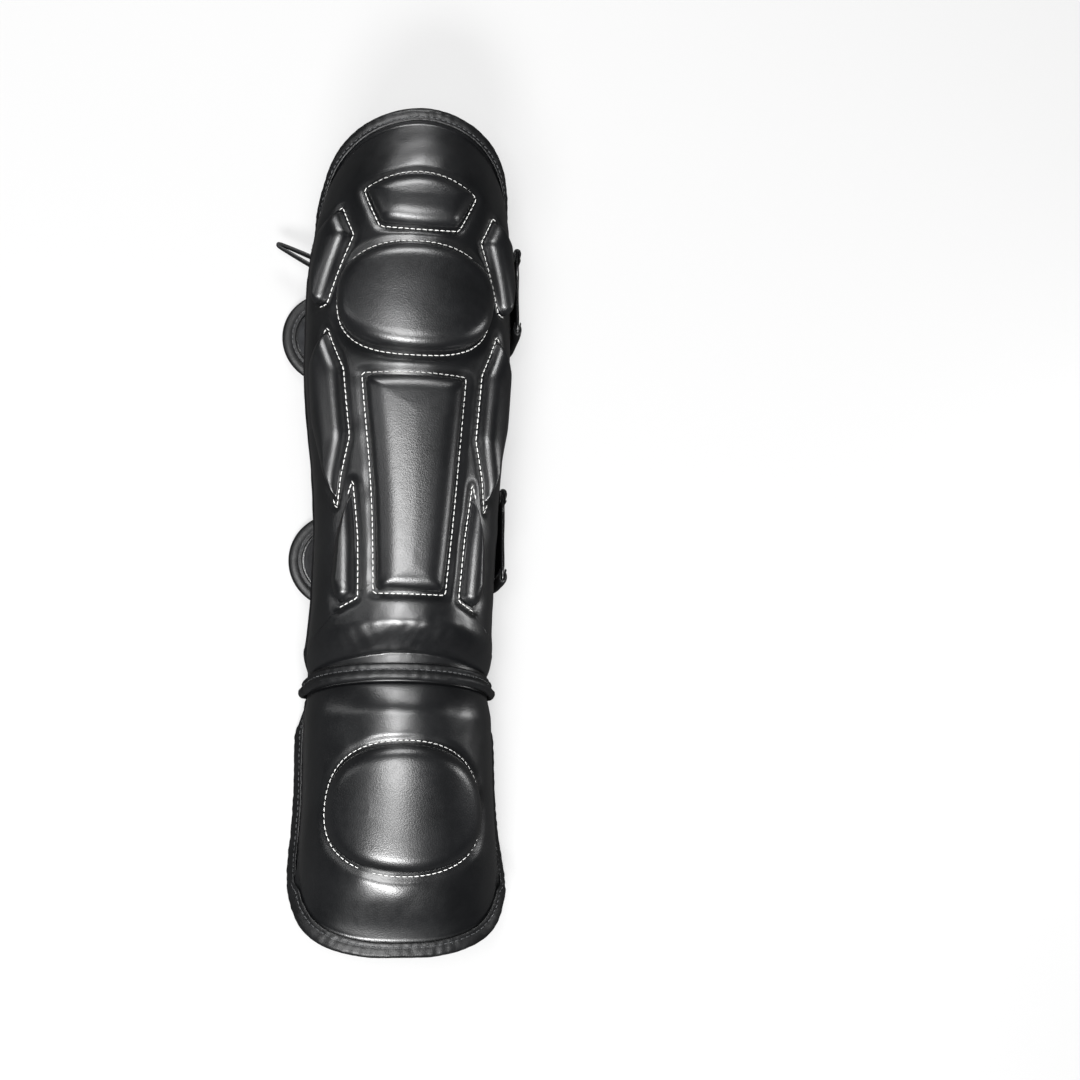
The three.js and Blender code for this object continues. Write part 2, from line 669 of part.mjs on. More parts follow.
// A thin patch over an outline in the floor plane, lying level.
function patchBody(outline, low) {
  const ring = (z) => outline.map((q) => new THREE.Vector3(q.x, q.y, z));
  return loft([ring(low), ring(low + patchThick)], { cap: outline });
}

for (const strap of straps) {
  const frames = strapFrames(strapPath(strap));
  const end = frames.at(-1);
  addPiece(strap.name, strapBody(frames), materials.leather);
  addPiece(`${strap.name}_binding`, strapTape(frames), materials.tape);
  const radius = strapWidth / 2 - patchMargin;
  const onStrap = (along, across) => {
    const p = end.point.clone().addScaledVector(end.forward, along).addScaledVector(end.across, across);
    return new THREE.Vector2(p.x, p.y);
  };
  const outline = [onStrap(-hookPatchBack, -radius)];
  for (let i = 0; i <= 8; i++) {
    const turn = (i / 8 - 0.5) * 180 * degree;
    outline.push(onStrap(radius * Math.cos(turn), radius * Math.sin(turn)));
  }
  outline.push(onStrap(-hookPatchBack, radius));
  const low = (strapStack + strapThick) / 2 + gap;
  addPiece(`${strap.name}_hook_patch`, patchBody(outline, low), materials.hookLoop);
}

// Tabs on the side walls. Each follows the wall's edge, folds under it and lies level over a strap.
const tabs = [
  { name: "upper_root_tab", side: 1, at: 0.692, width: rootTabWidth, length: rootTabLength },
  { name: "upper_tip_tab", side: -1, at: 0.64, width: tipTabWidth, length: tipTabLength },
  { name: "lower_root_tab", side: 1, at: 0.25, width: rootTabWidth, length: rootTabLength },
  { name: "lower_tip_tab", side: -1, at: 0.215, width: tipTabWidth, length: tipTabLength },
];

function tabBody({ side, at, width, length }) {
  const lengthSteps = 8;
  const middleHeight = tabHeight + tabHem / 2;
  const stations = [];
  for (let i = 0; i <= lengthSteps; i++) {
    const share = (2 * i) / lengthSteps - 1;
    const y = at * shinLength + (share * length) / 2;
    const edge = shinEdge(side, y);
    const fold = edge.z - bindingWall - 4.5 * gap - middleHeight;
    const level = width * quarterRound((1 - Math.abs(share)) / 0.45);
    stations.push({ y, x: edge.x, fold, level });
  }
  // A point of the tab's middle, t along it from the wall, and its thickness there.
  const sheet = ({ y, x, fold, level }) => {
    const hemStart = Math.max(level - tabHemWidth, level * 0.3);
    const rows = [[0, 0], [40, 0], [90, 0], [90, hemStart], [90, hemStart + 1], [90, level]];
    return rows.map(([angle, past]) => {
      const turn = angle * degree;
      return {
        point: new THREE.Vector3(
          x - side * (tabFold * (1 - Math.cos(turn)) + past), y,
          middleHeight + fold * (1 - Math.sin(turn)),
        ),
        up: new THREE.Vector3(side * Math.cos(turn), 0, -Math.sin(turn)),
        thick: past > hemStart ? tabHem : tabThick,
      };
    });
  };
  const rings = stations.map((station) => {
    const row = sheet(station);
    const face = (sign) => row.map(({ point, up, thick }) => point.clone().addScaledVector(up, (sign * thick) / 2));
    return [...face(1), ...face(-1).reverse()];
  });
  const row = sheet(stations[0]);
  const cap = [
    ...row.map((_, i) => new THREE.Vector2(i, 1)),
    ...row.map((_, i) => new THREE.Vector2(row.length - 1 - i, -1)),
  ];
  return loft(rings, { cap });
}

for (const tab of tabs) {
  addPiece(tab.name, tabBody(tab), materials.leather);
  const y = tab.at * shinLength;
  const near = tabFold + 1;
  const far = tabFold + tab.width - tabHemWidth - 2;
  const half = tab.length * 0.3;
  const corner = half - 4;
  const [third, rest] = [mix(near, far, 0.3), mix(near, far, 0.7)];
  const outline = [
    [near, -corner], [near, corner], [third, half], [rest, half],
    [far, corner], [far, -corner], [rest, -half], [third, -half],
  ].map(([across, up]) => {
    return new THREE.Vector2(shinEdge(tab.side, y + up).x - tab.side * across, y + up);
  });
  const low = tabHeight + (tabHem - tabThick) / 2 - gap - patchThick;
  addPiece(`${tab.name}_loop_patch`, patchBody(outline, low), materials.hookLoop);
}

// Elastic bands. Each runs up the inside of both walls and straight across between them. The ends
// are cut to fit the lining that they lie on.
function elasticHalf(side, y, width) {
  const bend = 2.5;
  const face = -2 * gap - liningThick;
  const rows = [];
  for (const share of [0, 0.5, 1]) {
    const under = bindingReach + 7 * gap + bend + elasticTurnUp * (1 - share);
    const across = (h) => [-0.5, 0, 0.5].map((w) => {
      const at = y + w * width;
      return place(side * upWall(at, under), at, h);
    });
    rows.push([across(1 - liningThick), across(face - elasticThick)]);
  }
  const moved = (row, dx, dz) => row.map((p) => new THREE.Vector3(p.x - side * dx, p.y, p.z - dz));
  const inner = rows.at(-1)[1];
  rows.push([moved(inner, 0.2, bend), moved(inner, bend, bend - elasticThick)]);
  return rows.map(([a, b]) => [...a, ...b.toReversed()]);
}

function elasticBody(y, width, cutter) {
  const rings = [...elasticHalf(1, y, width), ...elasticHalf(-1, y, width).reverse()];
  const cap = [[0, 1], [1, 1], [2, 1], [2, -1], [1, -1], [0, -1]].map(([x, z]) => new THREE.Vector2(x, z));
  return loft(rings, { cap }).subtract(cutter);
}
const lined = (panel, back) => layer(panelRings(panel, back), () => 6, () => -2 * gap - liningThick);
addPiece("ankle_elastic", elasticBody(0.074 * shinLength, ankleElasticWidth, lined(shin, hollowRings)), materials.elastic);
addPiece("foot_elastic", elasticBody(-0.43 * instepLength, footElasticWidth, lined(instep, instepHollowRings)), materials.elastic);

// The hanging loop: a narrow strip folded double, sewn under the left wall beside the upper tab.
function loopBody() {
  const tab = tabs.find(({ name }) => name === "upper_tip_tab");
  const root = shinEdge(-1, tab.at * shinLength + tab.length / 2 + loopBeyondTab);
  const start = new THREE.Vector3(root.x, root.y, root.z - bindingWall - 5.5 * gap - loopWidth / 2);
  const reach = new THREE.Vector3(-0.85, 0.45, -0.18).normalize();
  const spread = new THREE.Vector3(0.3, 0.9, 0).normalize();
  const tall = new THREE.Vector3().crossVectors(reach, spread).normalize();
  const sides = [];
  for (const sign of [1, -1])
    for (const share of sign > 0 ? [0, 0.35, 0.7, 0.93, 1] : [1, 0.93, 0.7, 0.35, 0]) {
      const open = (loopSpread / 2) * (share < 1 ? 1 - share * 0.62 : 0.16);
      sides.push(start.clone().addScaledVector(reach, share * loopLength).addScaledVector(spread, sign * open));
    }
  const corners = [[-1, -1], [1, -1], [1, 1], [-1, 1]];
  const rings = sides.map((p, i) => {
    const forward = sides[Math.min(i + 1, sides.length - 1)].clone().sub(sides[Math.max(i - 1, 0)]).normalize();
    const flat = new THREE.Vector3().crossVectors(forward, tall).normalize();
    return corners.map(([a, b]) => p.clone().addScaledVector(flat, (a * loopThick) / 2).addScaledVector(tall, (b * loopWidth) / 2));
  });
  return loft(rings, { cap: corners.map(([a, b]) => new THREE.Vector2(a, b)) });
}
addPiece("hang_loop", loopBody(), materials.tape);

// The frame's origin is the middle of the guard's footprint, on the floor.
const footprint = new THREE.Box3().setFromObject(guard);
const middle = footprint.getCenter(new THREE.Vector3());
guard.position.set(-middle.x, -middle.y, -footprint.min.z);

export default guard;
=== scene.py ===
# %% [markdown]
# # A padded shin and instep guard
# The guard lies on its straps with its front up. Two foam shells in black leather meet at an ankle
# seam, and raised pads are sewn on them with white thread. Everything here is soft, so most pieces are
# nets of points laid over one curved form, the hollow that the leg fills. This first cell loads the
# imported model, whose solids say where each piece belongs.

import math
from types import SimpleNamespace

import bmesh
import bpy
import numpy as np
from mathutils import Matrix, Vector


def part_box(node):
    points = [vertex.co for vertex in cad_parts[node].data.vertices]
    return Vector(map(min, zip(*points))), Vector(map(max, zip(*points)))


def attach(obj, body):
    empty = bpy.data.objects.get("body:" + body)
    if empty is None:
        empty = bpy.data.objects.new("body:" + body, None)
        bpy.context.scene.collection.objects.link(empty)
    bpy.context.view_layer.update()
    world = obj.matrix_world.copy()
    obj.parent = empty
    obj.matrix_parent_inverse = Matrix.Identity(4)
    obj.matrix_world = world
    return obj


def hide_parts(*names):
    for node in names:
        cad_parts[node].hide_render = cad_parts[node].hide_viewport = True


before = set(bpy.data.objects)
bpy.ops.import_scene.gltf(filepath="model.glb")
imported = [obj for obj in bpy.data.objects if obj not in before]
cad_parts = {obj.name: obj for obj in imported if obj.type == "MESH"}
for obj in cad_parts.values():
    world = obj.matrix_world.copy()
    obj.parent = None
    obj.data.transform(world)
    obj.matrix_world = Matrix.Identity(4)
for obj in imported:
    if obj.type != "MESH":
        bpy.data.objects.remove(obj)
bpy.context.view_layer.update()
bpy.ops.object.select_all(action="DESELECT")
print("nodes:", len(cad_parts))

# %% [markdown]
# ## The form under everything
# A shin guard is a bent tray: round across, nearly straight along. It could be modelled as one block
# and carved, but its pieces all follow the same surface, so that surface is written once. A few
# cross-sections are blended along the length, and place(s, y, h) gives the point that lies h
# millimetres above the hollow, s millimetres round from the crest, at the height y.

# %% The hollow's surface
SHIN, INSTEP = 294.0, 129.0  # lengths from the ankle seam, in millimetres
HALF_WIDTH, HEIGHT, GIRTH = 46.0, 72.0, 50.0
EDGE_LOW, EDGE_HIGH = 2.3, 16.6  # heights of the side walls' edges over the floor
COLUMNS = ("at", "width", "crest", "widest", "angle", "lift", "lean")
SECTIONS = np.array([
    (-1.0, 1.05, 0.51, 0.24, 103, 0, 0.017),
    (-0.74, 1.03, 0.64, 0.25, 104, 0, 0.026),
    (-0.44, 0.97, 0.72, 0.28, 105, 0, 0.009),
    (-0.18, 0.95, 0.77, 0.33, 105, 0.06, -0.017),
    (0, 0.94, 0.81, 0.39, 105, 0.4, -0.039),
    (0.1, 0.85, 0.88, 0.44, 108, 0.85, -0.039),
    (0.31, 0.85, 0.95, 0.49, 110, 1, -0.013),
    (0.55, 0.97, 0.99, 0.51, 112, 1, -0.035),
    (0.76, 0.97, 1.0, 0.53, 112, 1, -0.022),
    (1.0, 0.96, 0.97, 0.53, 112, 1, 0.048),
])
KNOTS = SECTIONS[:, 0] * np.where(SECTIONS[:, 0] < 0, INSTEP, SHIN)


def mix(a, b, t):
    return a + (b - a) * t


def smooth(t):
    t = np.clip(t, 0, 1)
    return t * t * (3 - 2 * t)


def quarter_round(t):
    return np.sqrt(1 - (1 - np.clip(t, 0, 1)) ** 2)


def unit(vectors):
    return vectors / np.linalg.norm(vectors, axis=-1, keepdims=True)


def run_along(points):
    """How far along its line each point lies."""
    return np.concatenate([[0], np.cumsum(np.linalg.norm(np.diff(points, axis=0), axis=1))])


def column(name, y):
    values = SECTIONS[:, COLUMNS.index(name)]
    last = len(values) - 1
    before = np.maximum(np.arange(last + 1) - 1, 0)
    after = np.minimum(np.arange(last + 1) + 1, last)
    slope = (values[after] - values[before]) / (KNOTS[after] - KNOTS[before])
    y = np.clip(y, KNOTS[0], KNOTS[-1])
    i = np.clip(np.searchsorted(KNOTS, y, side="right") - 1, 0, last - 1)
    h = KNOTS[i + 1] - KNOTS[i]
    t = (y - KNOTS[i]) / h
    return (
        (2 * t**3 - 3 * t**2 + 1) * values[i] + (t**3 - 2 * t**2 + t) * h * slope[i]
        + (3 * t**2 - 2 * t**3) * values[i + 1] + (t**3 - t**2) * h * slope[i + 1]
    )


def wall_end(y):
    return np.radians(column("angle", y)) * GIRTH


def hollow(s, y):
    s, y = np.broadcast_arrays(np.asarray(s, float), np.asarray(y, float))
    turn = s / GIRTH
    widest = column("widest", y) * HEIGHT
    edge = mix(EDGE_LOW, EDGE_HIGH, column("lift", y))
    below = (widest - edge) / -np.cos(np.radians(column("angle", y)))
    tall = np.where(np.cos(turn) >= 0, column("crest", y) * HEIGHT - widest, below)
    across = HALF_WIDTH * (column("lean", y) + column("width", y) * np.sin(turn))
    return np.stack([across, y, widest + tall * np.cos(turn)], -1)


def roundwards(s, y):
    return hollow(s + 0.5, y) - hollow(s - 0.5, y)


def lengthwards(s, y):
    return hollow(s, y + 0.5) - hollow(s, y - 0.5)


def outwards(s, y):
    return unit(np.cross(roundwards(s, y), lengthwards(s, y)))


def place(s, y, h):
    return hollow(s, y) + outwards(s, y) * np.asarray(h)[..., None]


def waves(a, b, length, seed, count=8):
    """Soft unevenness of about -1 to 1, whose swells are about length apart."""
    rng = np.random.default_rng(seed)
    total = 0
    for _ in range(count):
        turn, phase = rng.uniform(0, 2 * math.pi, 2)
        size = length * rng.uniform(0.7, 1.5)
        across = a * math.cos(turn) + b * math.sin(turn)
        total = total + np.sin(2 * math.pi * across / size + phase)
    return total / count**0.5 / 1.3


# The guard's own origin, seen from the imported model's. Both are in millimetres.
band_low, band_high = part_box("ankle_band")
ORIGIN = np.array([
    (band_low.x + band_high.x) * 500 + 1.73,
    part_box("shin_binding")[1].y * 1000 - 295.85,
    0,
])
print("origin of the guard's own measures, mm:", ORIGIN.round(2))

# %% [markdown]
# ## Helpers for meshes
# A net is a stack of rings with equally many points. Joining neighbours by quads gives a sleeve, and
# closing its ends gives a body. The helpers also turn faces outwards, because a net's faces point in
# or out depending on which way its rings run.

# %% Make a piece from a net
WELD = 2e-6  # metres; joins the points of a net's last ring, which lie on one line


def new_piece(name, points, faces, material, nodes=(), slot=None, merge=1e-7, free=None):
    """A mesh object from points in the guard's own millimetres, closed, smooth and facing out."""
    mesh = bpy.data.meshes.new(name)
    mesh.from_pydata(((points + ORIGIN) / 1000).tolist(), [], faces)
    if free is not None:
        mesh.attributes.new("free", "BOOLEAN", "POINT").data.foreach_set("value", free)
    bm = bmesh.new()
    bm.from_mesh(mesh)
    if merge:
        bmesh.ops.remove_doubles(bm, verts=bm.verts, dist=merge)
        bmesh.ops.dissolve_degenerate(bm, edges=bm.edges, dist=merge)
    if bm.calc_volume(signed=True) < 0:
        bmesh.ops.reverse_faces(bm, faces=bm.faces)
    bm.to_mesh(mesh)
    bm.free()
    mesh.shade_smooth()
    mesh.materials.append(material)
    piece = bpy.data.objects.new(name, mesh)
    bpy.context.scene.collection.objects.link(piece)
    if nodes:
        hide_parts(*nodes)
    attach(piece, "root")
    return piece


def net(rings, caps=True, endless=False):
    """Points and faces of a sleeve of rings, shape (rings, points, 3)."""
    rings = np.asarray(rings)
    count, size = rings.shape[:2]
    ids = np.arange(count * size).reshape(count, size)
    upper = np.roll(ids, -1, 0) if endless else ids[1:]
    lower = ids if endless else ids[:-1]
    quads = np.stack([lower, np.roll(lower, -1, 1), np.roll(upper, -1, 1), upper], -1)
    faces = quads.reshape(-1, 4).tolist()
    if caps and not endless:
        faces += [ids[0][::-1].tolist(), ids[-1].tolist()]
    return rings.reshape(-1, 3), faces


def apply_modifier(piece, kind, **settings):
    """Adds a modifier and applies it, as the Apply button does."""
    modifier = piece.modifiers.new(kind.lower(), kind)
    for key, value in settings.items():
        setattr(modifier, key, value)
    bpy.context.view_layer.objects.active = piece
    with bpy.context.temp_override(object=piece, active_object=piece, selected_objects=[piece]):
        bpy.ops.object.modifier_apply(modifier=modifier.name)


def rounded_off(piece):
    apply_modifier(piece, "SUBSURF", levels=2, render_levels=2)
    piece.data.shade_smooth()


def new_sheet(name, points, faces, material, node_name, thickness, offset, welded=False):
    """A sheet of cloth with its wall. A welded one is closed in its middle and faces down."""
    mesh = bpy.data.meshes.new(name)
    mesh.from_pydata(((points + ORIGIN) / 1000).tolist(), [], faces)
    if welded:
        bm = bmesh.new()
        bm.from_mesh(mesh)
        bmesh.ops.remove_doubles(bm, verts=bm.verts, dist=WELD)
        bm.normal_update()
        if sum(face.normal.z * face.calc_area() for face in bm.faces) > 0:
            bmesh.ops.reverse_faces(bm, faces=bm.faces)
        bm.to_mesh(mesh)
        bm.free()
    mesh.materials.append(material)
    piece = bpy.data.objects.new(name, mesh)
    bpy.context.scene.collection.objects.link(piece)
    apply_modifier(piece, "SOLIDIFY", thickness=thickness, offset=offset)
    piece.data.shade_smooth()
    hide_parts(node_name)
    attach(piece, "root")
    return piece


# %% [markdown]
# ## Leather, tape, cloth and thread
# The black leather is a satin coated one: nearly black, softly shiny, with a fine pebbled grain. Grain
# could be painted in an image, but noise in Object coordinates has no seams and stays sharp in any
# view. Leather, tape and straps share one grain group, with their own values, and each adds its own
# shader.

# %% The grain group
def group_of(name, inputs, outputs):
    tree = bpy.data.node_groups.new(name, "ShaderNodeTree")
    for label, value in inputs:
        socket = tree.interface.new_socket(label, in_out="INPUT", socket_type="NodeSocketFloat")
        socket.default_value = value
    for label in outputs:
        tree.interface.new_socket(label, in_out="OUTPUT", socket_type="NodeSocketFloat")
    return tree, tree.nodes.new("NodeGroupInput"), tree.nodes.new("NodeGroupOutput")


def node(tree, kind, settings=(), values=(), links=()):
    """A node with its settings, its socket values and its incoming links."""
    made = tree.nodes.new(kind)
    for key, value in dict(settings).items():
        setattr(made, key, value)
    for key, value in dict(values).items():
        made.inputs[key].default_value = value
    for key, source in dict(links).items():
        tree.links.new(source, made.inputs[key])
    return made


def maths(tree, operation, a, b):
    made = tree.nodes.new("ShaderNodeMath")
    made.operation = operation
    for socket, value in zip(made.inputs, (a, b)):
        if isinstance(value, (int, float)):
            socket.default_value = value
        else:
            tree.links.new(value, socket)
    return made.outputs[0]


grain, grain_in, grain_out = group_of(
    "leather_grain",
    [("Pebbles", 900.0), ("Creases", 160.0), ("Mottle", 26.0), ("Crease Share", 0.5)],
    ["Height", "Tone", "Gloss"],
)
spot = node(grain, "ShaderNodeTexCoord").outputs["Object"]
pebbles = node(grain, "ShaderNodeTexVoronoi", {"feature": "SMOOTH_F1"}, {"Smoothness": 0.35},
               {"Vector": spot, "Scale": grain_in.outputs["Pebbles"]}).outputs["Distance"]
creases = node(grain, "ShaderNodeTexNoise", {}, {"Detail": 5.0, "Roughness": 0.62, "Distortion": 0.5},
               {"Vector": spot, "Scale": grain_in.outputs["Creases"]}).outputs["Fac"]
mottle = node(grain, "ShaderNodeTexNoise", {}, {"Detail": 3.0, "Roughness": 0.55},
              {"Vector": spot, "Scale": grain_in.outputs["Mottle"]}).outputs["Fac"]
creased = maths(grain, "MULTIPLY", creases, grain_in.outputs["Crease Share"])
grain.links.new(maths(grain, "ADD", pebbles, creased), grain_out.inputs["Height"])
grain.links.new(mottle, grain_out.inputs["Tone"])
gloss = maths(grain, "ADD", maths(grain, "MULTIPLY", creases, 0.5), maths(grain, "MULTIPLY", mottle, 0.5))
grain.links.new(gloss, grain_out.inputs["Gloss"])


# %% Leather and tape
def ramp(tree, source, stops):
    made = node(tree, "ShaderNodeValToRGB", links={"Fac": source})
    for element, (at, colour) in zip(made.color_ramp.elements, stops):
        element.position = at
        element.color = (*colour, 1)
    return made.outputs["Color"]


def spread(tree, source, low, high):
    """Turns a value of about 0.25 to 0.75 into one between low and high."""
    limits = {"From Min": 0.25, "From Max": 0.75, "To Min": low, "To Max": high}
    return node(tree, "ShaderNodeMapRange", {}, limits, {"Value": source}).outputs["Result"]


def principled(name, **values):
    """A new material with its node tree and its shader, whose values are set."""
    material = bpy.data.materials.new(name)
    material.use_nodes = True
    shader = material.node_tree.nodes["Principled BSDF"]
    for key, value in values.items():
        shader.inputs[key.replace("_", " ")].default_value = value
    return material, material.node_tree, shader


def dress(tree, shader, tone, gloss, height, dark, light, rough, strength, depth):
    """Colour, roughness and bump from values that vary over the surface."""
    tree.links.new(ramp(tree, tone, [(0.3, dark), (0.7, light)]), shader.inputs["Base Color"])
    tree.links.new(spread(tree, gloss, *rough), shader.inputs["Roughness"])
    bump = node(tree, "ShaderNodeBump", {}, {"Strength": strength, "Distance": depth}, {"Height": height})
    tree.links.new(bump.outputs["Normal"], shader.inputs["Normal"])


def leather(name, dark, light, rough, depth, specular, *grain_values):
    """A leather finish. Its grain values are pebbles, creases and mottle per metre, and crease share."""
    material, tree, shader = principled(name, Specular_IOR_Level=specular)
    values = dict(zip(("Pebbles", "Creases", "Mottle", "Crease Share"), grain_values))
    grains = node(tree, "ShaderNodeGroup", {"node_tree": grain}, values).outputs
    dress(tree, shader, grains["Tone"], grains["Gloss"], grains["Height"], dark, light, rough, 0.5, depth)
    return material


shell_leather = leather("shell_leather", (0.003, 0.0033, 0.0038), (0.0062, 0.0066, 0.0074), (0.26, 0.37),
                        0.00006, 0.95, 1500.0, 260.0, 24.0, 0.6)
pad_leather = leather("pad_leather", (0.0032, 0.0035, 0.004), (0.0068, 0.0072, 0.0082), (0.27, 0.38),
                      0.00008, 0.95, 1400.0, 300.0, 30.0, 0.7)
strap_leather = leather("strap_leather", (0.0025, 0.0027, 0.003), (0.006, 0.0063, 0.007), (0.2, 0.3),
                        0.00006, 0.9, 1500.0, 150.0, 35.0, 0.8)
edge_tape = leather("edge_tape", (0.0028, 0.003, 0.0034), (0.0065, 0.0068, 0.0075), (0.38, 0.5),
                    0.0001, 0.55, 1300.0, 420.0, 60.0, 1.2)

# %% [markdown]
# The lining is a thin satin cloth, the elastic a ribbed band, the fastener patches stiff pile, and the
# thread a bright twisted yarn. Cloths are rougher than leather and get a little sheen, which a fibre
# surface shows at its edges.


# %% Cloth, pile and thread
def cloth(name, dark, light, rough, across, along, depth, sheen=0.2, specular=0.3):
    """A woven finish. across and along are threads per metre."""
    material, tree, shader = principled(
        name, Sheen_Weight=sheen, Sheen_Roughness=0.4, Specular_IOR_Level=specular)
    spot = node(tree, "ShaderNodeTexCoord").outputs["Object"]
    warp, weft = [
        node(tree, "ShaderNodeTexWave", {"bands_direction": way, "wave_profile": "SIN"},
             {"Scale": threads / 20, "Distortion": 0.6, "Detail": 1.0}, {"Vector": spot}).outputs["Fac"]
        for way, threads in (("X", across), ("Y", along))
    ]
    fibre, shade = [
        node(tree, "ShaderNodeTexNoise", {}, {"Scale": scale, "Detail": 4.0}, {"Vector": spot}).outputs["Fac"]
        for scale in (700.0, 22.0)
    ]
    woven = maths(tree, "ADD", maths(tree, "MULTIPLY", warp, weft), maths(tree, "MULTIPLY", fibre, 0.6))
    tone = maths(tree, "ADD", maths(tree, "MULTIPLY", woven, 0.35), maths(tree, "MULTIPLY", shade, 0.65))
    dress(tree, shader, tone, shade, woven, dark, light, rough, 0.6, depth)
    return material


lining_cloth = cloth("lining_cloth", (0.006, 0.0065, 0.007), (0.02, 0.021, 0.023), (0.42, 0.6),
                     1800, 1800, 0.0001, 0.35, 0.45)
elastic_web = cloth("elastic_web", (0.008, 0.008, 0.009), (0.026, 0.027, 0.028), (0.7, 0.9),
                    900, 700, 0.00025, 0.25)
hook_pile = cloth("hook_pile", (0.006, 0.006, 0.007), (0.024, 0.025, 0.027), (0.6, 0.85),
                  600, 600, 0.0004, 0.3)
white_thread = cloth("white_thread", (0.72, 0.72, 0.7), (0.92, 0.92, 0.9), (0.5, 0.7),
                     2600, 2600, 0.00012)
black_thread = cloth("black_thread", (0.02, 0.021, 0.023), (0.06, 0.062, 0.066), (0.4, 0.6),
                     2600, 2600, 0.00012, 0.3, 0.6)
print("materials:", len(bpy.data.materials))

# %% [markdown]
# ## Outlines and padding
# Each shell is cut to an outline: a seam edge at the ankle with rounded corners, two side edges, and
# a round end. The foam tapers to a thin edge that the binding grips. Here the outline is sampled
# closely, so that the edge shows no corners, and the foam's thickness is a function of the distance
# from it.

# %% Shell outlines
EDGE_FOAM, FLANGE, SEAM_CORNER, SEAM_RISE, SEAM_GAP = 2.4, 6.8, 10.0, 9.0, 0.6
SEAM_HALF = float(wall_end(0.0)) - SEAM_CORNER


def seam_height(s):
    return SEAM_RISE * (1 - (s / SEAM_HALF) ** 2)


def resample(path, count, closed=False):
    """Points at equal steps along a path of (s, y)."""
    path = np.asarray(path, float)
    if closed:
        path = np.vstack([path, path[:1]])
    lengths = run_along(path)
    at = np.linspace(0, lengths[-1], count + 1)[:-1] if closed else np.linspace(0, lengths[-1], count)
    return np.stack([np.interp(at, lengths, path[:, i]) for i in range(path.shape[1])], -1)


def softened(ring, passes):
    """A closed ring with its corners rounded by averaging neighbours."""
    for _ in range(passes):
        ring = (np.roll(ring, 1, 0) + 2 * ring + np.roll(ring, -1, 0)) / 4
    return ring


def half_outline(side, length, arch, power):
    start, straight = side * SEAM_GAP / 2, side * (length - arch)
    s = np.linspace(0, SEAM_HALF, 60, endpoint=False)
    seam = np.stack([s, start + seam_height(s)], -1)
    turn = np.radians(np.linspace(0, 90, 16))
    corner = np.stack([SEAM_HALF + SEAM_CORNER * np.sin(turn),
                       start + side * SEAM_CORNER * (1 - np.cos(turn))], -1)
    y = np.linspace(start + side * SEAM_CORNER, straight, 140)[1:]
    wall = np.stack([wall_end(y), y], -1)
    turn = np.radians(np.linspace(0, 90, 160))[1:]
    y = straight + side * arch * np.sin(turn) ** (2 / power)
    end = np.stack([wall_end(y) * np.abs(np.cos(turn)) ** (2 / power), y], -1)
    end[-1, 0] = 0
    return np.vstack([seam, corner, wall, end])


def distance(path, s, y, closed=False, reach=None):
    """The distance in millimetres from points on the hollow to a path of (s, y)."""
    s, y = np.broadcast_arrays(np.asarray(s, float), np.asarray(y, float))
    flat_s, flat_y = s.ravel(), y.ravel()
    found = np.full(flat_s.shape, np.inf)
    a = path if closed else path[:-1]
    b = np.roll(path, -1, 0) if closed else path[1:]
    near = np.ones(flat_s.shape, bool)
    if reach:
        (s0, y0), (s1, y1) = path.min(0) - reach, path.max(0) + reach
        near = (flat_s > s0) & (flat_s < s1) & (flat_y > y0) & (flat_y < y1)
    index = np.flatnonzero(near)
    for part in np.array_split(index, max(1, len(index) // 4000)):
        if not len(part):
            continue
        ps, py = flat_s[part], flat_y[part]
        per = np.linalg.norm(roundwards(ps, py), axis=-1)[:, None]
        ds, dy = (b[:, 0] - a[:, 0]) * per, (b[:, 1] - a[:, 1])[None]
        qs, qy = (ps[:, None] - a[:, 0]) * per, py[:, None] - a[:, 1]
        t = np.clip((qs * ds + qy * dy) / np.maximum(ds * ds + dy * dy, 1e-12), 0, 1)
        found[part] = np.hypot(qs - t * ds, qy - t * dy).min(1)
    return found.reshape(s.shape)


def inside(path, s, y):
    """True where (s, y) lies within a closed path."""
    crossings = np.zeros(np.broadcast(s, y).shape, int)
    for (s0, y0), (s1, y1) in zip(path, np.roll(path, -1, 0)):
        if y0 == y1:
            continue
        crossings += ((y0 > y) != (y1 > y)) & (s < (s1 - s0) * (y - y0) / (y1 - y0) + s0)
    return crossings % 2 == 1


def make_shell(side, length, arch, power, middle, count, foam):
    half = half_outline(side, length, arch, power)
    mirrored = half[1:-1][::-1] * (-1, 1)
    outline = softened(resample(np.vstack([half, mirrored]), count, closed=True), 3)
    free = resample(half[60:], 150)
    return SimpleNamespace(
        side=side, length=length, arch=arch, straight=side * (length - arch), outline=outline, free=free,
        foam=foam, middle=sorted(at * length for at in middle), pads=[])


SHIN_ARCH, SHIN_POWER = 90, 1.8  # length and fullness of the shin's round end
shin = make_shell(1, SHIN, SHIN_ARCH, SHIN_POWER, (0.22, 0.72), 660, SimpleNamespace(
    crest=17, side=9.4, taper=24, end_taper=50, seam_taper=15, seam_flange=5, lip=4, flare=(3.2, 0.6)))
instep = make_shell(-1, INSTEP, 60, 2.15, (-0.5, -0.36), 500, SimpleNamespace(
    crest=12, side=4.8, taper=22, end_taper=48, seam_taper=14, seam_flange=5, lip=0, flare=(6.4, 2.2)))


FLARE_REACH = 15  # how far in from the edge a shell starts to turn outwards


def flare(shell, s, y):
    """How far the shell turns outwards along its free edge."""
    away = distance(shell.free, np.abs(s), y, reach=FLARE_REACH + 1)
    most = mix(*shell.foam.flare, smooth((np.cos(s / GIRTH) + 0.25) / 0.5))
    fade = np.clip(1 - away / FLARE_REACH, 0, 1) ** 2
    return most * fade * smooth((shell.side * y - 4) / 20)


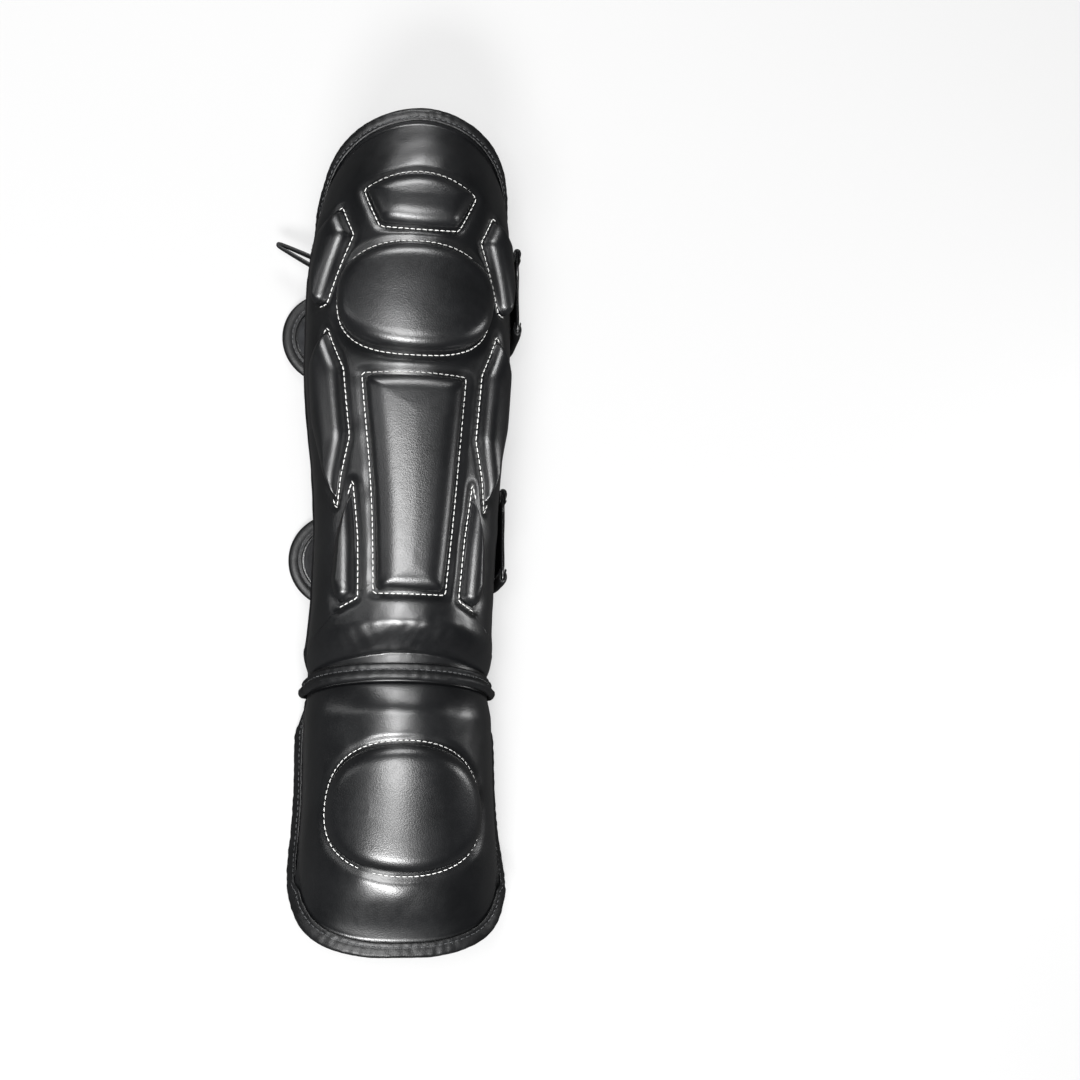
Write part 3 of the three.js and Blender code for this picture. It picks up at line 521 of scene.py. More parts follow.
def padding(shell, s, y):
    """The thickness of leather and foam."""
    foam = shell.foam
    facing = np.clip(np.cos(s / GIRTH), 0, None)
    full = mix(foam.side, foam.crest, facing**2)
    end = smooth((shell.side * y - shell.side * shell.straight) / shell.arch * 1.3) * facing
    away = distance(shell.free, np.abs(s), y) - FLANGE - 0.6
    steep = quarter_round(away / foam.taper)
    gentle = np.sin(np.clip(away / foam.end_taper, 0, 1) * math.pi / 2)
    from_seam = shell.side * (y - shell.side * SEAM_GAP / 2 - seam_height(s))
    into_seam = (from_seam - foam.seam_flange - foam.lip * facing**3) / foam.seam_taper
    seam = mix(quarter_round(into_seam), smooth(into_seam * 0.8 + 0.1), 0.55 * facing)
    return mix(EDGE_FOAM, full, mix(steep, gentle, end) * seam)


# %% [markdown]
# ## Pad outlines
# The pads' outlines are the guard's face: a bowed bar on the shin, an oval under the knee, a curved
# strip above it, three cornered pads on each flank and an oval on the instep. Each is a short list of
# corners in degrees round the shin and shares of its length. On the flanks only the inner edges are
# stitched through; the outer ones end in a soft crease, with a short tick of stitches at each end.

# %% Pad outlines
CORNER_STEP = 0.6  # millimetres between the points of a cornered outline


def round_at(around):
    return np.radians(around) * GIRTH


def cornered(corners, length):
    """A closed outline through corners of (around, along, bend), and where each corner lies in it."""
    points, starts = [], []
    for (around, along, bend), (next_around, next_along, _) in zip(corners, corners[1:] + corners[:1]):
        a = np.array([round_at(around), along * length])
        b = np.array([round_at(next_around), next_along * length])
        run = b - a
        steps = max(int(np.linalg.norm(run) / CORNER_STEP), 3)
        t = np.linspace(0, 1, steps, endpoint=False)[:, None]
        starts.append(len(points))
        points += list(a + run * t + np.array([-run[1], run[0]]) * bend * 4 * t * (1 - t))
    ring = softened(np.array(points), 9)
    return ring, starts


def oval(around, top, widest, foot, power, length):
    turn = np.radians(np.arange(0, 360, 0.75))
    shaped = lambda v: np.sign(v) * np.abs(v) ** (2 / power)
    rise = np.where(np.sin(turn) > 0, top - widest, widest - foot)
    along = (widest + rise * shaped(np.sin(turn))) * length
    return np.stack([round_at(around) * shaped(np.cos(turn)), along], -1)


BAR = [(27.5, 0.523, 0), (20, 0.157, 0), (-20, 0.157, 0), (-27.5, 0.523, 0)]
TOP = [(31.5, 0.841, 0), (20.5, 0.772, 0.04), (-20.5, 0.772, 0), (-31.5, 0.841, 0.165)]
UPPER = [(45, 0.817, 0), (35, 0.762, 0), (52, 0.649, 0), (63, 0.647, 0), (70, 0.699, 0), (66, 0.782, 0)]
MIDDLE = [(51, 0.610, 0), (38.5, 0.534, 0), (36, 0.419, 0), (43.5, 0.353, 0),
          (47, 0.299, 0), (58, 0.360, 0), (68, 0.448, 0), (68, 0.551, 0)]
LOWER = [(35, 0.346, 0), (31, 0.251, 0), (29, 0.149, 0), (42, 0.132, 0), (50, 0.173, 0), (47, 0.256, 0)]


def add_pad(shell, name, outline, line, rise, stitched=None, outer=None, flat=0.0):
    ends = [np.array([round_at(around), along * abs(shell.length)]) for around, along in line]
    shell.pads.append(SimpleNamespace(
        name=name, outline=outline, ends=ends, rise=rise, stitched=stitched, outer=outer, flat=flat))


add_pad(shin, "top_pad", cornered(TOP, SHIN)[0], [(-14, 0.820), (14, 0.820)], 5.8, flat=0.35)
add_pad(shin, "knee_pad", oval(44, 0.747, 0.656, 0.552, 2.3, SHIN), [(-14, 0.652), (14, 0.652)], 7.0,
        flat=0.35)
add_pad(shin, "shin_bar_pad", cornered(BAR, SHIN)[0], [(0, 0.232), (0, 0.448)], 5.4, flat=0.85)
# first and last stitched corner, and how far the stitches run on past them
FLANKS = [("upper_side_pad", UPPER, [(52, 0.772), (59, 0.674)], 0, 2, 3.5, 7),
          ("middle_side_pad", MIDDLE, [(53, 0.546), (50, 0.379)], 0, 4, 4.5, 7),
          ("lower_side_pad", LOWER, [(37, 0.291), (40, 0.183)], 0, 3, 8, 0)]
for name, corners, line, first, last, before, after in FLANKS:
    ring, starts = cornered(corners, SHIN)
    run = np.arange(starts[first] - int(before / CORNER_STEP), starts[last] + int(after / CORNER_STEP))
    path = np.take(ring, run, axis=0, mode="wrap")
    for side, word in ((1, "right"), (-1, "left")):
        mirror = np.array([side, 1])
        mirrored_line = [(side * around, along) for around, along in line]
        add_pad(shin, f"{name}_{word}", ring * mirror, mirrored_line, 6.5, stitched=path * mirror, outer=side)
add_pad(instep, "instep_pad", oval(50, -0.186, -0.466, -0.690, 2.1, INSTEP),
        [(-18, -0.435), (18, -0.435)], 6.5)
print("pads:", [pad.name for pad in shin.pads + instep.pads])

# %% [markdown]
# ## The shells' leather covers
# A cover is one skin drawn over the foam. Where a pad is sewn down the thread pulls the leather into a
# groove, and beside the flank pads it only creases. This could be sculpted by hand. Here each point's
# height is worked out from its distance to the seams, on a net that follows the outline, so the same
# rule gives every groove. Under the pads the cover is let down a little, because they stand in it.

# %% Covers
GROOVE, GROOVE_WIDTH = 1.3, 2.4  # depth and width of the groove along a stitched seam
CREASE, CREASE_WIDTH = 0.55, 4.5  # the same of a seam that isn't stitched through
UNDER, SEAM_STRIP = 2.2, 1.3  # how far the cover is let down under a pad, and the pad's flat edge
PULL_REACH = 16


def seam_pull(shell, s, y):
    """How far the sewn seams pull the cover down."""
    pull = np.zeros(np.shape(s))
    for pad in shell.pads:
        away = distance(pad.outline, s, y, closed=True, reach=PULL_REACH)
        near = away < PULL_REACH
        within = np.zeros_like(near)
        within[near] = inside(pad.outline, s[near], y[near])
        deep = np.full(s.shape, GROOVE)
        if pad.stitched is not None:
            soft = smooth((distance(pad.stitched, s, y, reach=PULL_REACH) - 3) / 8)
            deep = mix(GROOVE, CREASE, np.where(near, soft, 1))
        wide = mix(GROOVE_WIDTH, CREASE_WIDTH, (GROOVE - deep) / (GROOVE - CREASE))
        outside = deep * np.exp(-np.where(near, away / wide, 9) ** 2)
        below = deep + UNDER * smooth((away - SEAM_STRIP) / 4)
        pull = np.maximum(pull, np.where(within, below, outside))
        far = ~near & inside(pad.outline, s, y)
        pull[far] = GROOVE + UNDER
    return pull


def cover_height(shell, s, y):
    bulk = padding(shell, s, y)
    thick = (bulk - EDGE_FOAM) / 8
    swell = np.clip(thick, 0, 1)
    soft = 0.35 * waves(s, y, 46, 3) + 0.12 * waves(s, y, 15, 5)
    height = bulk + swell * soft - swell * seam_pull(shell, s, y)
    if shell.foam.lip:
        # the bend at the ankle gathers the leather in small lengthwise folds
        bend = np.exp(-((y - seam_height(s) - 17) / 7) ** 2 - (s / 26) ** 2)
        height = height - bend * (0.4 + 0.26 * waves(s, y * 0.25, 4.5, 11) + 0.2 * waves(s, y, 6, 13))
    return height


def cover_rings(shell, flange_rings, rings, skip=1):
    """(s, y) of the net, from the outline to the line it closes on."""
    outline = shell.outline[::skip]
    before, after = np.roll(outline, 2, 0), np.roll(outline, -2, 0)
    per_s = np.linalg.norm(roundwards(outline[:, 0], outline[:, 1]), axis=-1)
    per_y = np.linalg.norm(lengthwards(outline[:, 0], outline[:, 1]), axis=-1)
    ds, dy = ((after - before) * np.stack([per_s, per_y], -1)).T
    size = np.hypot(ds, dy) * shell.side
    inward = np.stack([-dy / size / per_s, ds / size / per_y], -1)
    if skip == 1:
        shell.inward = inward
    seam_side = smooth((shell.side * outline[:, 1] - SEAM_RISE - 1) / 8)
    step = mix(5.0, FLANGE, seam_side)[:, None]
    stepped = outline + inward * step
    low, high = shell.middle
    centre = np.stack([np.zeros(len(outline)), np.clip(outline[:, 1], low, high)], -1)
    near = [mix(outline, stepped, t) for t in np.linspace(0, 1, flange_rings, endpoint=False)]
    far = [mix(stepped, centre, t) for t in np.linspace(0, 1, rings) ** 1.15]
    return np.array(near + far)


def make_cover(shell, name, rings, nodes):
    top = cover_rings(shell, 7, rings)
    back = cover_rings(shell, 2, 9)[::-1]
    s, y = top[..., 0], top[..., 1]
    front_points = place(s, y, cover_height(shell, s, y) + flare(shell, s, y))
    back_points = place(back[..., 0], back[..., 1], flare(shell, back[..., 0], back[..., 1]))
    points, faces = net(np.concatenate([back_points, front_points]), caps=False)
    piece = new_piece(name, points, faces, shell_leather, nodes, "leather", merge=WELD)
    print(name, "faces:", len(piece.data.polygons))


make_cover(shin, "shin_cover", 78, ["shin_shell"])
make_cover(instep, "instep_cover", 60, ["instep_shell"])

# %% [markdown]
# ## The raised pads
# Each pad is foam under a panel of leather, sewn down all round: a steep rounded wall and a slightly
# crowned face. Its net closes on a line along its middle. The height function gives it its fullness,
# and subdivision smooths it. Between them a cloth simulation blows the pad up with its sewn edge held.
# At this size and pressure it moves the skin by less than a fifth of a millimetre, and a stronger one
# crumples the ends of the bar, where real leather is taut.

# %% Pads
PAD_EDGE = -GROOVE + 0.2  # height of a pad's edge over the foam
SWELL_FRAMES, MOST_SWELL = 10, 0.0012  # frames of cloth simulation, and its cap in metres


def paired(outline, ends, spacing):
    """The outline as a ring whose opposite points share a place on the middle line."""
    a, b = ends
    share = (outline - a) @ (b - a) / ((b - a) @ (b - a))
    start, far = int(share.argmin()), int(share.argmax())
    ring = np.roll(outline, -start, 0)
    far = (far - start) % len(outline)
    count = max(int(len(outline) * np.linalg.norm(outline[1] - outline[0]) / spacing / 2), 12)
    going = resample(ring[: far + 1], count + 1)
    coming = resample(np.vstack([ring[far:], ring[:1]]), count + 1)
    ring = np.vstack([going, coming[1:-1]])
    share = (ring - a) @ (b - a) / ((b - a) @ (b - a))
    mate = share[-np.arange(len(ring)) % len(ring)]
    centre = a + np.clip((share + mate) / 2, 0, 1)[:, None] * (b - a)
    return ring, centre


def pad_height(pad, s, y):
    away = distance(pad.outline, s, y, closed=True) - SEAM_STRIP
    shoulder = 8.5
    if pad.outer:
        loose = smooth((distance(pad.stitched, s, y) - 4) / 12)
        shoulder = mix(7.0, 13.0, loose)
    crown = 0.9 * smooth(away / 22)
    lip = PAD_EDGE
    # the face is flatter than the shin that it stands on
    filled = pad.flat * np.clip(np.abs(s), 0, 30) ** 2 / 2 / GIRTH
    return lip + (pad.rise + crown + filled - lip) * quarter_round(away / shoulder)


def make_pad(shell, pad):
    ring, centre = paired(pad.outline, pad.ends, 2.4)
    span = np.linalg.norm(centre - ring, axis=1, keepdims=True)
    ring = mix(ring, centre, SEAM_STRIP / np.maximum(span, 2 * SEAM_STRIP))
    shares = np.linspace(0, 1, 13) ** 1.35
    rings = np.array([mix(ring, centre, t) for t in shares])
    s, y = rings[..., 0], rings[..., 1]
    height = pad_height(pad, s, y)
    height[0] = PAD_EDGE
    bulk = padding(shell, s, y)
    top = place(s, y, bulk + height)
    foot = np.array([mix(ring, centre, t) for t in (0.0, 0.3, 1.0)])[::-1]
    foot_s, foot_y = foot[..., 0], foot[..., 1]
    bottom = place(foot_s, foot_y, padding(shell, foot_s, foot_y) - GROOVE - 1.2)
    points, faces = net(np.concatenate([bottom, top]), caps=False)
    free = np.repeat(np.arange(len(bottom) + len(top)) > len(bottom) + 1, len(ring))
    return new_piece(pad.name, points, faces, pad_leather, merge=WELD, free=free)


def blown_up(piece, frames, cap):
    """Swells a piece with cloth simulation, its sewn points held, by at most cap metres."""
    sewn = piece.vertex_groups.new(name="sewn")
    held = [i for i, free in enumerate(piece.data.attributes["free"].data) if not free.value]
    sewn.add(held, 1.0, "REPLACE")
    cloth_sim = piece.modifiers.new("swell", "CLOTH")
    settings = cloth_sim.settings
    settings.quality, settings.mass = 6, 0.15
    settings.tension_stiffness = settings.compression_stiffness = settings.shear_stiffness = 20
    settings.bending_stiffness = 2
    settings.use_pressure, settings.uniform_pressure_force = True, 4
    settings.vertex_group_mass = "sewn"
    settings.effector_weights.gravity = 0
    cloth_sim.collision_settings.use_collision = False
    start = np.array([v.co[:] for v in piece.data.vertices])
    scene = bpy.context.scene
    for at in range(1, frames + 1):
        scene.frame_set(at)
    swollen = piece.evaluated_get(bpy.context.evaluated_depsgraph_get()).data
    moved = np.array([v.co[:] for v in swollen.vertices]) - start
    piece.modifiers.remove(cloth_sim)
    scene.frame_set(1)
    far = np.linalg.norm(moved, axis=1, keepdims=True)
    print(f"{piece.name}: {len(start)} points, swelled by up to {far.max() * 1000:.2f} mm")
    moved *= np.minimum(1, cap / np.maximum(far, 1e-9))
    piece.data.vertices.foreach_set("co", (start + moved).ravel())
    piece.vertex_groups.clear()


for shell in (shin, instep):
    for pad in shell.pads:
        piece = make_pad(shell, pad)
        blown_up(piece, SWELL_FRAMES, MOST_SWELL)
        piece.data.attributes.remove(piece.data.attributes["free"])
        rounded_off(piece)
        piece.name = piece.data.name = f"{pad.name}_cushion"
        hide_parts(pad.name)

# %% [markdown]
# ## Stitches
# The white thread shows as a row of short stitches in each groove. One stitch is modelled once, as a
# small bowed bead, and copied along the seam, each copy turned to the surface. Real stitches sink
# into the leather at both ends, which the bead's bow does.

# %% A stitch and rows of it
bpy.ops.mesh.primitive_uv_sphere_add(segments=6, ring_count=6, radius=0.5, rotation=(0, math.radians(90), 0))
bead = bpy.context.object
bpy.ops.object.transform_apply(location=False, rotation=True, scale=False)
bead_points = np.array([v.co[:] for v in bead.data.vertices])
bead_faces = [list(p.vertices) for p in bead.data.polygons]
bpy.data.objects.remove(bead)
along = np.abs(bead_points[:, 0]) * 2
slim = np.hypot(bead_points[:, 1], bead_points[:, 2]) * 2
bead_points[:, 1:] /= np.sqrt(np.maximum(slim, 1e-6))[:, None]
bead_points[:, 2] -= 0.45 * along**3
print("faces of one stitch:", len(bead_faces))


# length, width and pitch of a stitch
WHITE_STITCH, TAPE_STITCH = (2.4, 0.52, 3.0), (2.3, 0.6, 3.0)
FINE_STITCH, WEB_STITCH = (2.3, 0.55, 3.0), (2.0, 0.6, 2.8)


def stitch_row(points, normals, stitch, closed=False):
    """Points and faces of stitches along a line of points with normals, in millimetres."""
    length, width, pitch = stitch
    if closed:
        points, normals = np.vstack([points, points[:1]]), np.vstack([normals, normals[:1]])
    run = run_along(points)
    count = max(int(round(run[-1] / pitch)), 1)
    at = (np.arange(count) + 0.5) * run[-1] / count
    pick = lambda where, values: np.stack([np.interp(where, run, values[:, k]) for k in range(3)], -1)
    centre, up = pick(at, points), unit(pick(at, normals))
    forward = unit(pick(at + length / 2, points) - pick(at - length / 2, points))
    side = np.cross(up, forward)
    rng = np.random.default_rng(len(points))
    slant = rng.normal(0, 0.05, count)[:, None]
    forward, side = forward + side * slant, side - forward * slant
    made = (
        centre[:, None] + forward[:, None] * bead_points[None, :, :1] * length
        + side[:, None] * bead_points[None, :, 1:2] * width + up[:, None] * bead_points[None, :, 2:] * width
    )
    size = len(bead_points)
    faces = [[k * size + v for v in face] for k in range(count) for face in bead_faces]
    return made.reshape(-1, 3), faces


def joined(parts):
    points, faces, start = [], [], 0
    for these, those in parts:
        points.append(these)
        faces += [[start + v for v in face] for face in those]
        start += len(these)
    return np.vstack(points), faces


def sew(name, rows, thread=black_thread):
    """All the stitches of one piece, from its rows."""
    new_piece(f"{name}_stitches", *joined(rows), thread, merge=0)


for shell in (shin, instep):
    for pad in shell.pads:
        path = pad.outline if pad.stitched is None else pad.stitched
        s, y = path[:, 0], path[:, 1]
        line = place(s, y, padding(shell, s, y) - GROOVE + 0.4)
        sew(pad.name, [stitch_row(line, outwards(s, y), WHITE_STITCH, pad.stitched is None)], white_thread)

# %% [markdown]
# ## Linings
# A satin cloth lines each hollow. It is laid in and held by the binding, so it lies in soft lengthwise
# folds. It is a sheet: one net with a wall from the Solidify modifier.

# %% Linings
def make_lining(shell, name, rings, folds, node_name):
    net_rings = cover_rings(shell, 4, rings, skip=2)[1:]
    s, y = net_rings[..., 0], net_rings[..., 1]
    free = smooth((distance(shell.outline, s, y, closed=True) - 7) / 14)
    points, faces = net(place(s, y, flare(shell, s, y) - 0.35 - folds(s, y) * free), caps=False)
    piece = new_sheet(name, points, faces, lining_cloth, node_name, 0.0009, 1.0, welded=True)


def shin_folds(s, y):
    long = np.clip(waves(s, y * 0.16, 30, 21), 0, None) ** 1.5
    return 1.9 * long + 0.25 * (1 + waves(s, y * 0.5, 16, 22))


def instep_folds(s, y):
    heel = np.exp(-(((y + 40) / 22) ** 2 + (s / 30) ** 2))
    fine = np.clip(waves(s, y * 0.7, 13, 31), 0, None) ** 1.4 * heel
    return 0.8 * np.clip(waves(s, y * 0.4, 34, 32), 0, None) + 1.2 * fine + 0.2


make_lining(shin, "shin_lining_cloth", 34, shin_folds, "shin_lining")
make_lining(instep, "instep_lining_cloth", 30, instep_folds, "instep_lining")

# %% [markdown]
# ## Edge bindings
# A strip of leather tape is folded over each raw edge and stitched through. It bulges over the edge
# like a cord, dips at its stitches and wrinkles where it turns a curve. A bevelled curve could carry
# its cross-section, but the tape has to lie on the shell's surface, so its rings are laid along the
# outline with the same place function.

# %% Bindings of the shells
DIP, INNER = 4, 4  # which point of a tape's profile its front stitches lie in, and how many lie inside
SHEET_MIDDLE, FLOOR_GAP = 0.45, 0.1


def tape_profile(half, reach, wall, nose):
    """Steps out of the sheet and up from its middle: a rolled edge, a dip at the stitches and a lip."""
    outer = half + wall
    front = [(-1, half + 0.2), (-0.98, outer - 0.35), (-0.9, outer - 0.1), (-0.79, outer - 0.2),
             (-0.68, outer - 0.5), (-0.57, outer - 0.2), (-0.4, outer + 0.05), (-0.2, outer + 0.1),
             (-0.04, outer * 0.95)]
    front = [(x * reach, v) for x, v in front]
    front += [(nose * 0.42, outer * 0.8), (nose * 0.82, outer * 0.46), (nose, 0)]
    back = [(x, -v) for x, v in front[:-1]][::-1]
    inner = [(-reach * 0.6, -half * 0.9), (-0.4, -half * 0.8), (-0.4, half * 0.8), (-reach * 0.6, half * 0.9)]
    return np.array(front + back + inner), DIP, len(front) + len(back) - 1 - DIP


def shell_binding(shell, name, cad, reach):
    outline, inward = shell.outline, shell.inward
    profile, front_dip, back_dip = tape_profile(2.2, reach, 1.3, 1.8)
    # the open part of the outline, from one ankle corner to the other
    seam = (shell.side * outline[:, 1] < SEAM_RISE + 2) & (np.abs(outline[:, 0]) < SEAM_HALF + 5)
    start = int(np.flatnonzero(~seam & np.roll(seam, 1))[0])
    stop = int(np.flatnonzero(seam & ~np.roll(seam, 1))[0])
    index = np.arange(start, stop if stop > start else stop + len(outline)) % len(outline)
    s, y = outline[index].T
    into = inward[index]
    arc = run_along(hollow(s, y))
    out = -roundwards(s, y) * into[:, :1] - lengthwards(s, y) * into[:, 1:]
    rings = np.empty((len(index), len(profile), 3))
    for k, (x, v) in enumerate(profile):
        back = max(-x, 0)
        crumple = 0.0
        if k < len(profile) - INNER:
            short = waves(arc, np.full_like(arc, k * 1.5), 5.5, 41)
            long = waves(arc, np.full_like(arc, k * 0.8), 17, 42)
            crumple = 0.16 * short + 0.14 * long
        push = np.sign(v) * crumple
        on_s, on_y = s + into[:, 0] * back, y + into[:, 1] * back
        rings[:, k] = place(on_s, on_y, SHEET_MIDDLE + v + push + flare(shell, on_s, on_y)) + out * max(x, 0)
    # the tape is pressed flat where it rests on the floor
    rings[..., 2] = np.maximum(rings[..., 2], FLOOR_GAP)
    ends = np.minimum(arc, arc[-1] - arc)
    taper = (0.72 + 0.28 * smooth(ends / 6))[:, None, None]
    centre = rings.mean(1, keepdims=True)
    points, faces = net(centre + (rings - centre) * taper)
    new_piece(name, points, faces, edge_tape, [cad], "edge_tape")
    rows = []
    for dip, sign in ((front_dip, 1), (back_dip, -1)):
        line = rings[:, dip] + sign * outwards(s, y) * 0.12
        rows.append(stitch_row(line[4:-4], sign * outwards(s, y)[4:-4], TAPE_STITCH))
    sew(name, rows)


shell_binding(shin, "shin_edge_tape", "shin_binding", 5.6)
shell_binding(instep, "instep_edge_tape", "instep_binding", 6.5)

# %% [markdown]
# ## The ankle band
# A narrower tape covers the seam between the two shells. It is folded along its length into a flat
# stitched half and a rolled half, and its ends turn round the side walls to the inside, where the
# bindings meet.

# %% Ankle band
def ankle_band():
    steps, past_seam = 150, 6.5
    across = np.linspace(-SEAM_HALF - past_seam, SEAM_HALF + past_seam, steps)
    y = SEAM_RISE * (1 - np.clip(np.abs(across) / SEAM_HALF, 0, 1) ** 2)
    end = smooth((np.abs(across) - SEAM_HALF + 12) / 12)
    base = EDGE_FOAM + 0.3 + 1.5 * end
    profile = [(-4.2, 0.1), (-4.1, 1.2), (-3.4, 2.2), (-2.2, 2.9), (-0.9, 2.9), (0.1, 2.1), (0.7, 1.25),
               (1.3, 1.1), (2.2, 1.3), (3.0, 1.55), (3.8, 1.35), (4.2, 0.7), (4.2, 0.1), (2.5, -0.2),
               (0, -0.2), (-2.5, -0.2)]
    stitched = 7
    rings = np.empty((steps, len(profile), 3))
    for k, (x, v) in enumerate(profile):
        lift = 0.14 * waves(across, np.full_like(across, k * 1.2), 6, 51) if v > 0.5 else 0
        rings[:, k] = place(across, y + x * (1 - 0.15 * end), base + v + lift)
    # the turned ends
    pieces = []
    for side, tail in ((-1, rings[0]), (1, rings[-1])):
        s0, y0 = side * (SEAM_HALF + past_seam), 0.0
        out = unit(roundwards(s0, y0) * side)
        normal = outwards(s0, y0)
        pivot = place(s0, y0, 0.75)
        turned = []
        for turn in np.radians(np.linspace(12, 180, 12)):
            offset = tail - pivot
            flat_out, flat_up = offset @ out, offset @ normal
            rest = offset - np.outer(flat_out, out) - np.outer(flat_up, normal)
            reach = 2.2 * math.sin(turn)
            turned.append(pivot + rest * (1 - 0.12 * turn / math.pi)
                          + np.outer(flat_out * math.cos(turn) + flat_up * math.sin(turn) * 0.75 + reach, out)
                          + np.outer(flat_up * math.cos(turn) * 0.9, normal))
        last = turned[-1]
        inner = [last - out * step for step in (3.0, 6.5, 9.0)]
        pieces.append(turned + inner)
    whole = pieces[0][::-1] + list(rings) + pieces[1]
    points, faces = net(np.array(whole))
    new_piece("ankle_seam_band", points, faces, edge_tape, ["ankle_band"], "edge_tape")
    inside_span = slice(6, -6)
    up = outwards(across, y)[inside_span]
    sew("ankle_seam_band", [stitch_row(rings[inside_span, stitched] + up * 0.15, up, TAPE_STITCH)])


ankle_band()

# %% [markdown]
# ## The straps
# Each strap is a band of two leathers sewn back to back, with a bound edge and a round tip. It is sewn
# on the right wall, turns under it and lies along the floor. A curve with a bevel would do for a plain
# band, but this one needs an edge tape and a hook patch that share its path, so the path is worked out
# once, smoothed, and every piece is laid along it.

# %% Straps
STRAP_WIDTH, STRAP_HALF, STRAP_THICK, STRAP_MIDDLE = 50.0, 23.7, 1.6, 2.25
STRAP_STEP = 1.5  # millimetres between the points of a strap's path
HOOK_HALF, PILE_STEP = 17, 0.9  # half a hook patch's width, and the size of its tufts
# name, and where along the shin its root and its tip lie
STRAPS = [("upper_strap", 0.718, 0.635), ("lower_strap", 0.277, 0.23)]


def own_box(node_name):
    return [np.array(corner) * 1000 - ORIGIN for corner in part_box(node_name)]


def eased(path, passes):
    """An open path with its bends rounded and its ends kept."""
    for _ in range(passes):
        path[1:-1] = (path[:-2] + 2 * path[1:-1] + path[2:]) / 4
    return path


def strap_middle(name, root, tip):
    """The middle of a strap from its sewn root to where its tip begins to round."""
    low, high = own_box(name)
    s, y = round_at(np.array([86, 91, 97])), np.full(3, root * SHIN)
    wall = place(s, y, padding(shin, s, y) + 2.5)
    wall[:, 0] += high[0] - STRAP_THICK / 2 - wall[:, 0].max()
    reach, top = wall[-1, 0], wall[-1, 2]
    turn = [(reach * 1.01, 0, mix(STRAP_MIDDLE, top, 0.62)), (reach * 0.975, 0, mix(STRAP_MIDDLE, top, 0.3)),
            (reach * 0.9, 0, mix(STRAP_MIDDLE, top, 0.08)), (reach * 0.74, 0, STRAP_MIDDLE)]
    path = np.vstack([wall, turn, [(low[0] + STRAP_HALF, 0, STRAP_MIDDLE)]])
    path[:, 1] = 0
    length = np.linalg.norm(np.diff(path, axis=0), axis=1).sum()
    path = eased(resample(path, int(length / STRAP_STEP)), 30)
    share = np.linspace(0, length / (length + STRAP_WIDTH / 2), len(path))
    path[:, 1] = mix(root, tip, share) * SHIN
    forward = unit(np.gradient(path, axis=0))
    up = unit(np.stack([-forward[:, 2], 0 * forward[:, 0], forward[:, 0]], -1))
    return SimpleNamespace(path=path, forward=forward, up=up, across=np.cross(up, forward))


def strap_body(name, m):
    turn = np.radians(np.linspace(0, 90, 14))[1:]
    end = lambda values: np.repeat(values[-1:], len(turn), 0)
    path, forward = np.vstack([m.path, end(m.path)]), np.vstack([m.forward, end(m.forward)])
    up, across = np.vstack([m.up, end(m.up)]), np.vstack([m.across, end(m.across)])
    advance = np.concatenate([np.zeros(len(m.path)), STRAP_HALF * np.sin(turn)])[:, None]
    half = np.concatenate([np.full(len(m.path), STRAP_HALF), STRAP_HALF * np.cos(turn)])[:, None]
    arc = np.arange(len(path)) * STRAP_STEP
    rings = []
    for face in (1, -1):
        for a in np.linspace(-1, 1, 13) * face:
            ripple = 0.14 * waves(arc, a * half[:, 0], 16, 61) * (1 - a**4)
            thick = face * STRAP_THICK / 2 * (1 - 0.3 * a**8) + ripple
            rings.append(path + forward * advance + across * a * half + up * thick[:, None])
    points, faces = net(np.array(rings).transpose(1, 0, 2))
    new_piece(f"{name}_band", points, faces, strap_leather, [name], "strap_leather", merge=WELD)


def strap_tape(name, m):
    turn = np.radians(np.arange(4, 180, 4))[:, None]
    outs = np.vstack([m.across, m.across[-1] * np.cos(turn) + m.forward[-1] * np.sin(turn), -m.across[::-1]])
    ups = np.vstack([m.up, np.repeat(m.up[-1:], len(turn), 0), m.up[::-1]])
    line = np.vstack([m.path, np.repeat(m.path[-1:], len(turn), 0), m.path[::-1]]) + outs * STRAP_HALF
    arc = run_along(line)
    profile, front_dip, back_dip = tape_profile(1.1, 6.0, 0.95, 1.35)
    rings = np.empty((len(line), len(profile), 3))
    for k, (x, v) in enumerate(profile):
        inner = k >= len(profile) - INNER
        crumple = 0 * arc if inner else 0.12 * waves(arc, np.full_like(arc, k * 1.5), 6, 71)
        rings[:, k] = line + outs * x + ups * (v - np.sign(v) * np.abs(crumple))[:, None]
    points, faces = net(rings)
    new_piece(f"{name}_tape", points, faces, edge_tape, [f"{name}_binding"], "edge_tape")
    rows = [stitch_row(rings[2:-2, dip] + sign * ups[2:-2] * 0.1, sign * ups[2:-2], FINE_STITCH)
            for dip, sign in ((front_dip, 1), (back_dip, -1))]
    # two rows across hold the root on the wall
    for at in (3, 9):
        across = np.linspace(-17, 17, 30)[:, None]
        row = m.path[at] + m.across[at] * across + m.up[at] * 0.85
        rows.append(stitch_row(row, np.repeat(m.up[at : at + 1], 30, 0), TAPE_STITCH))
    sew(f"{name}_tape", rows)


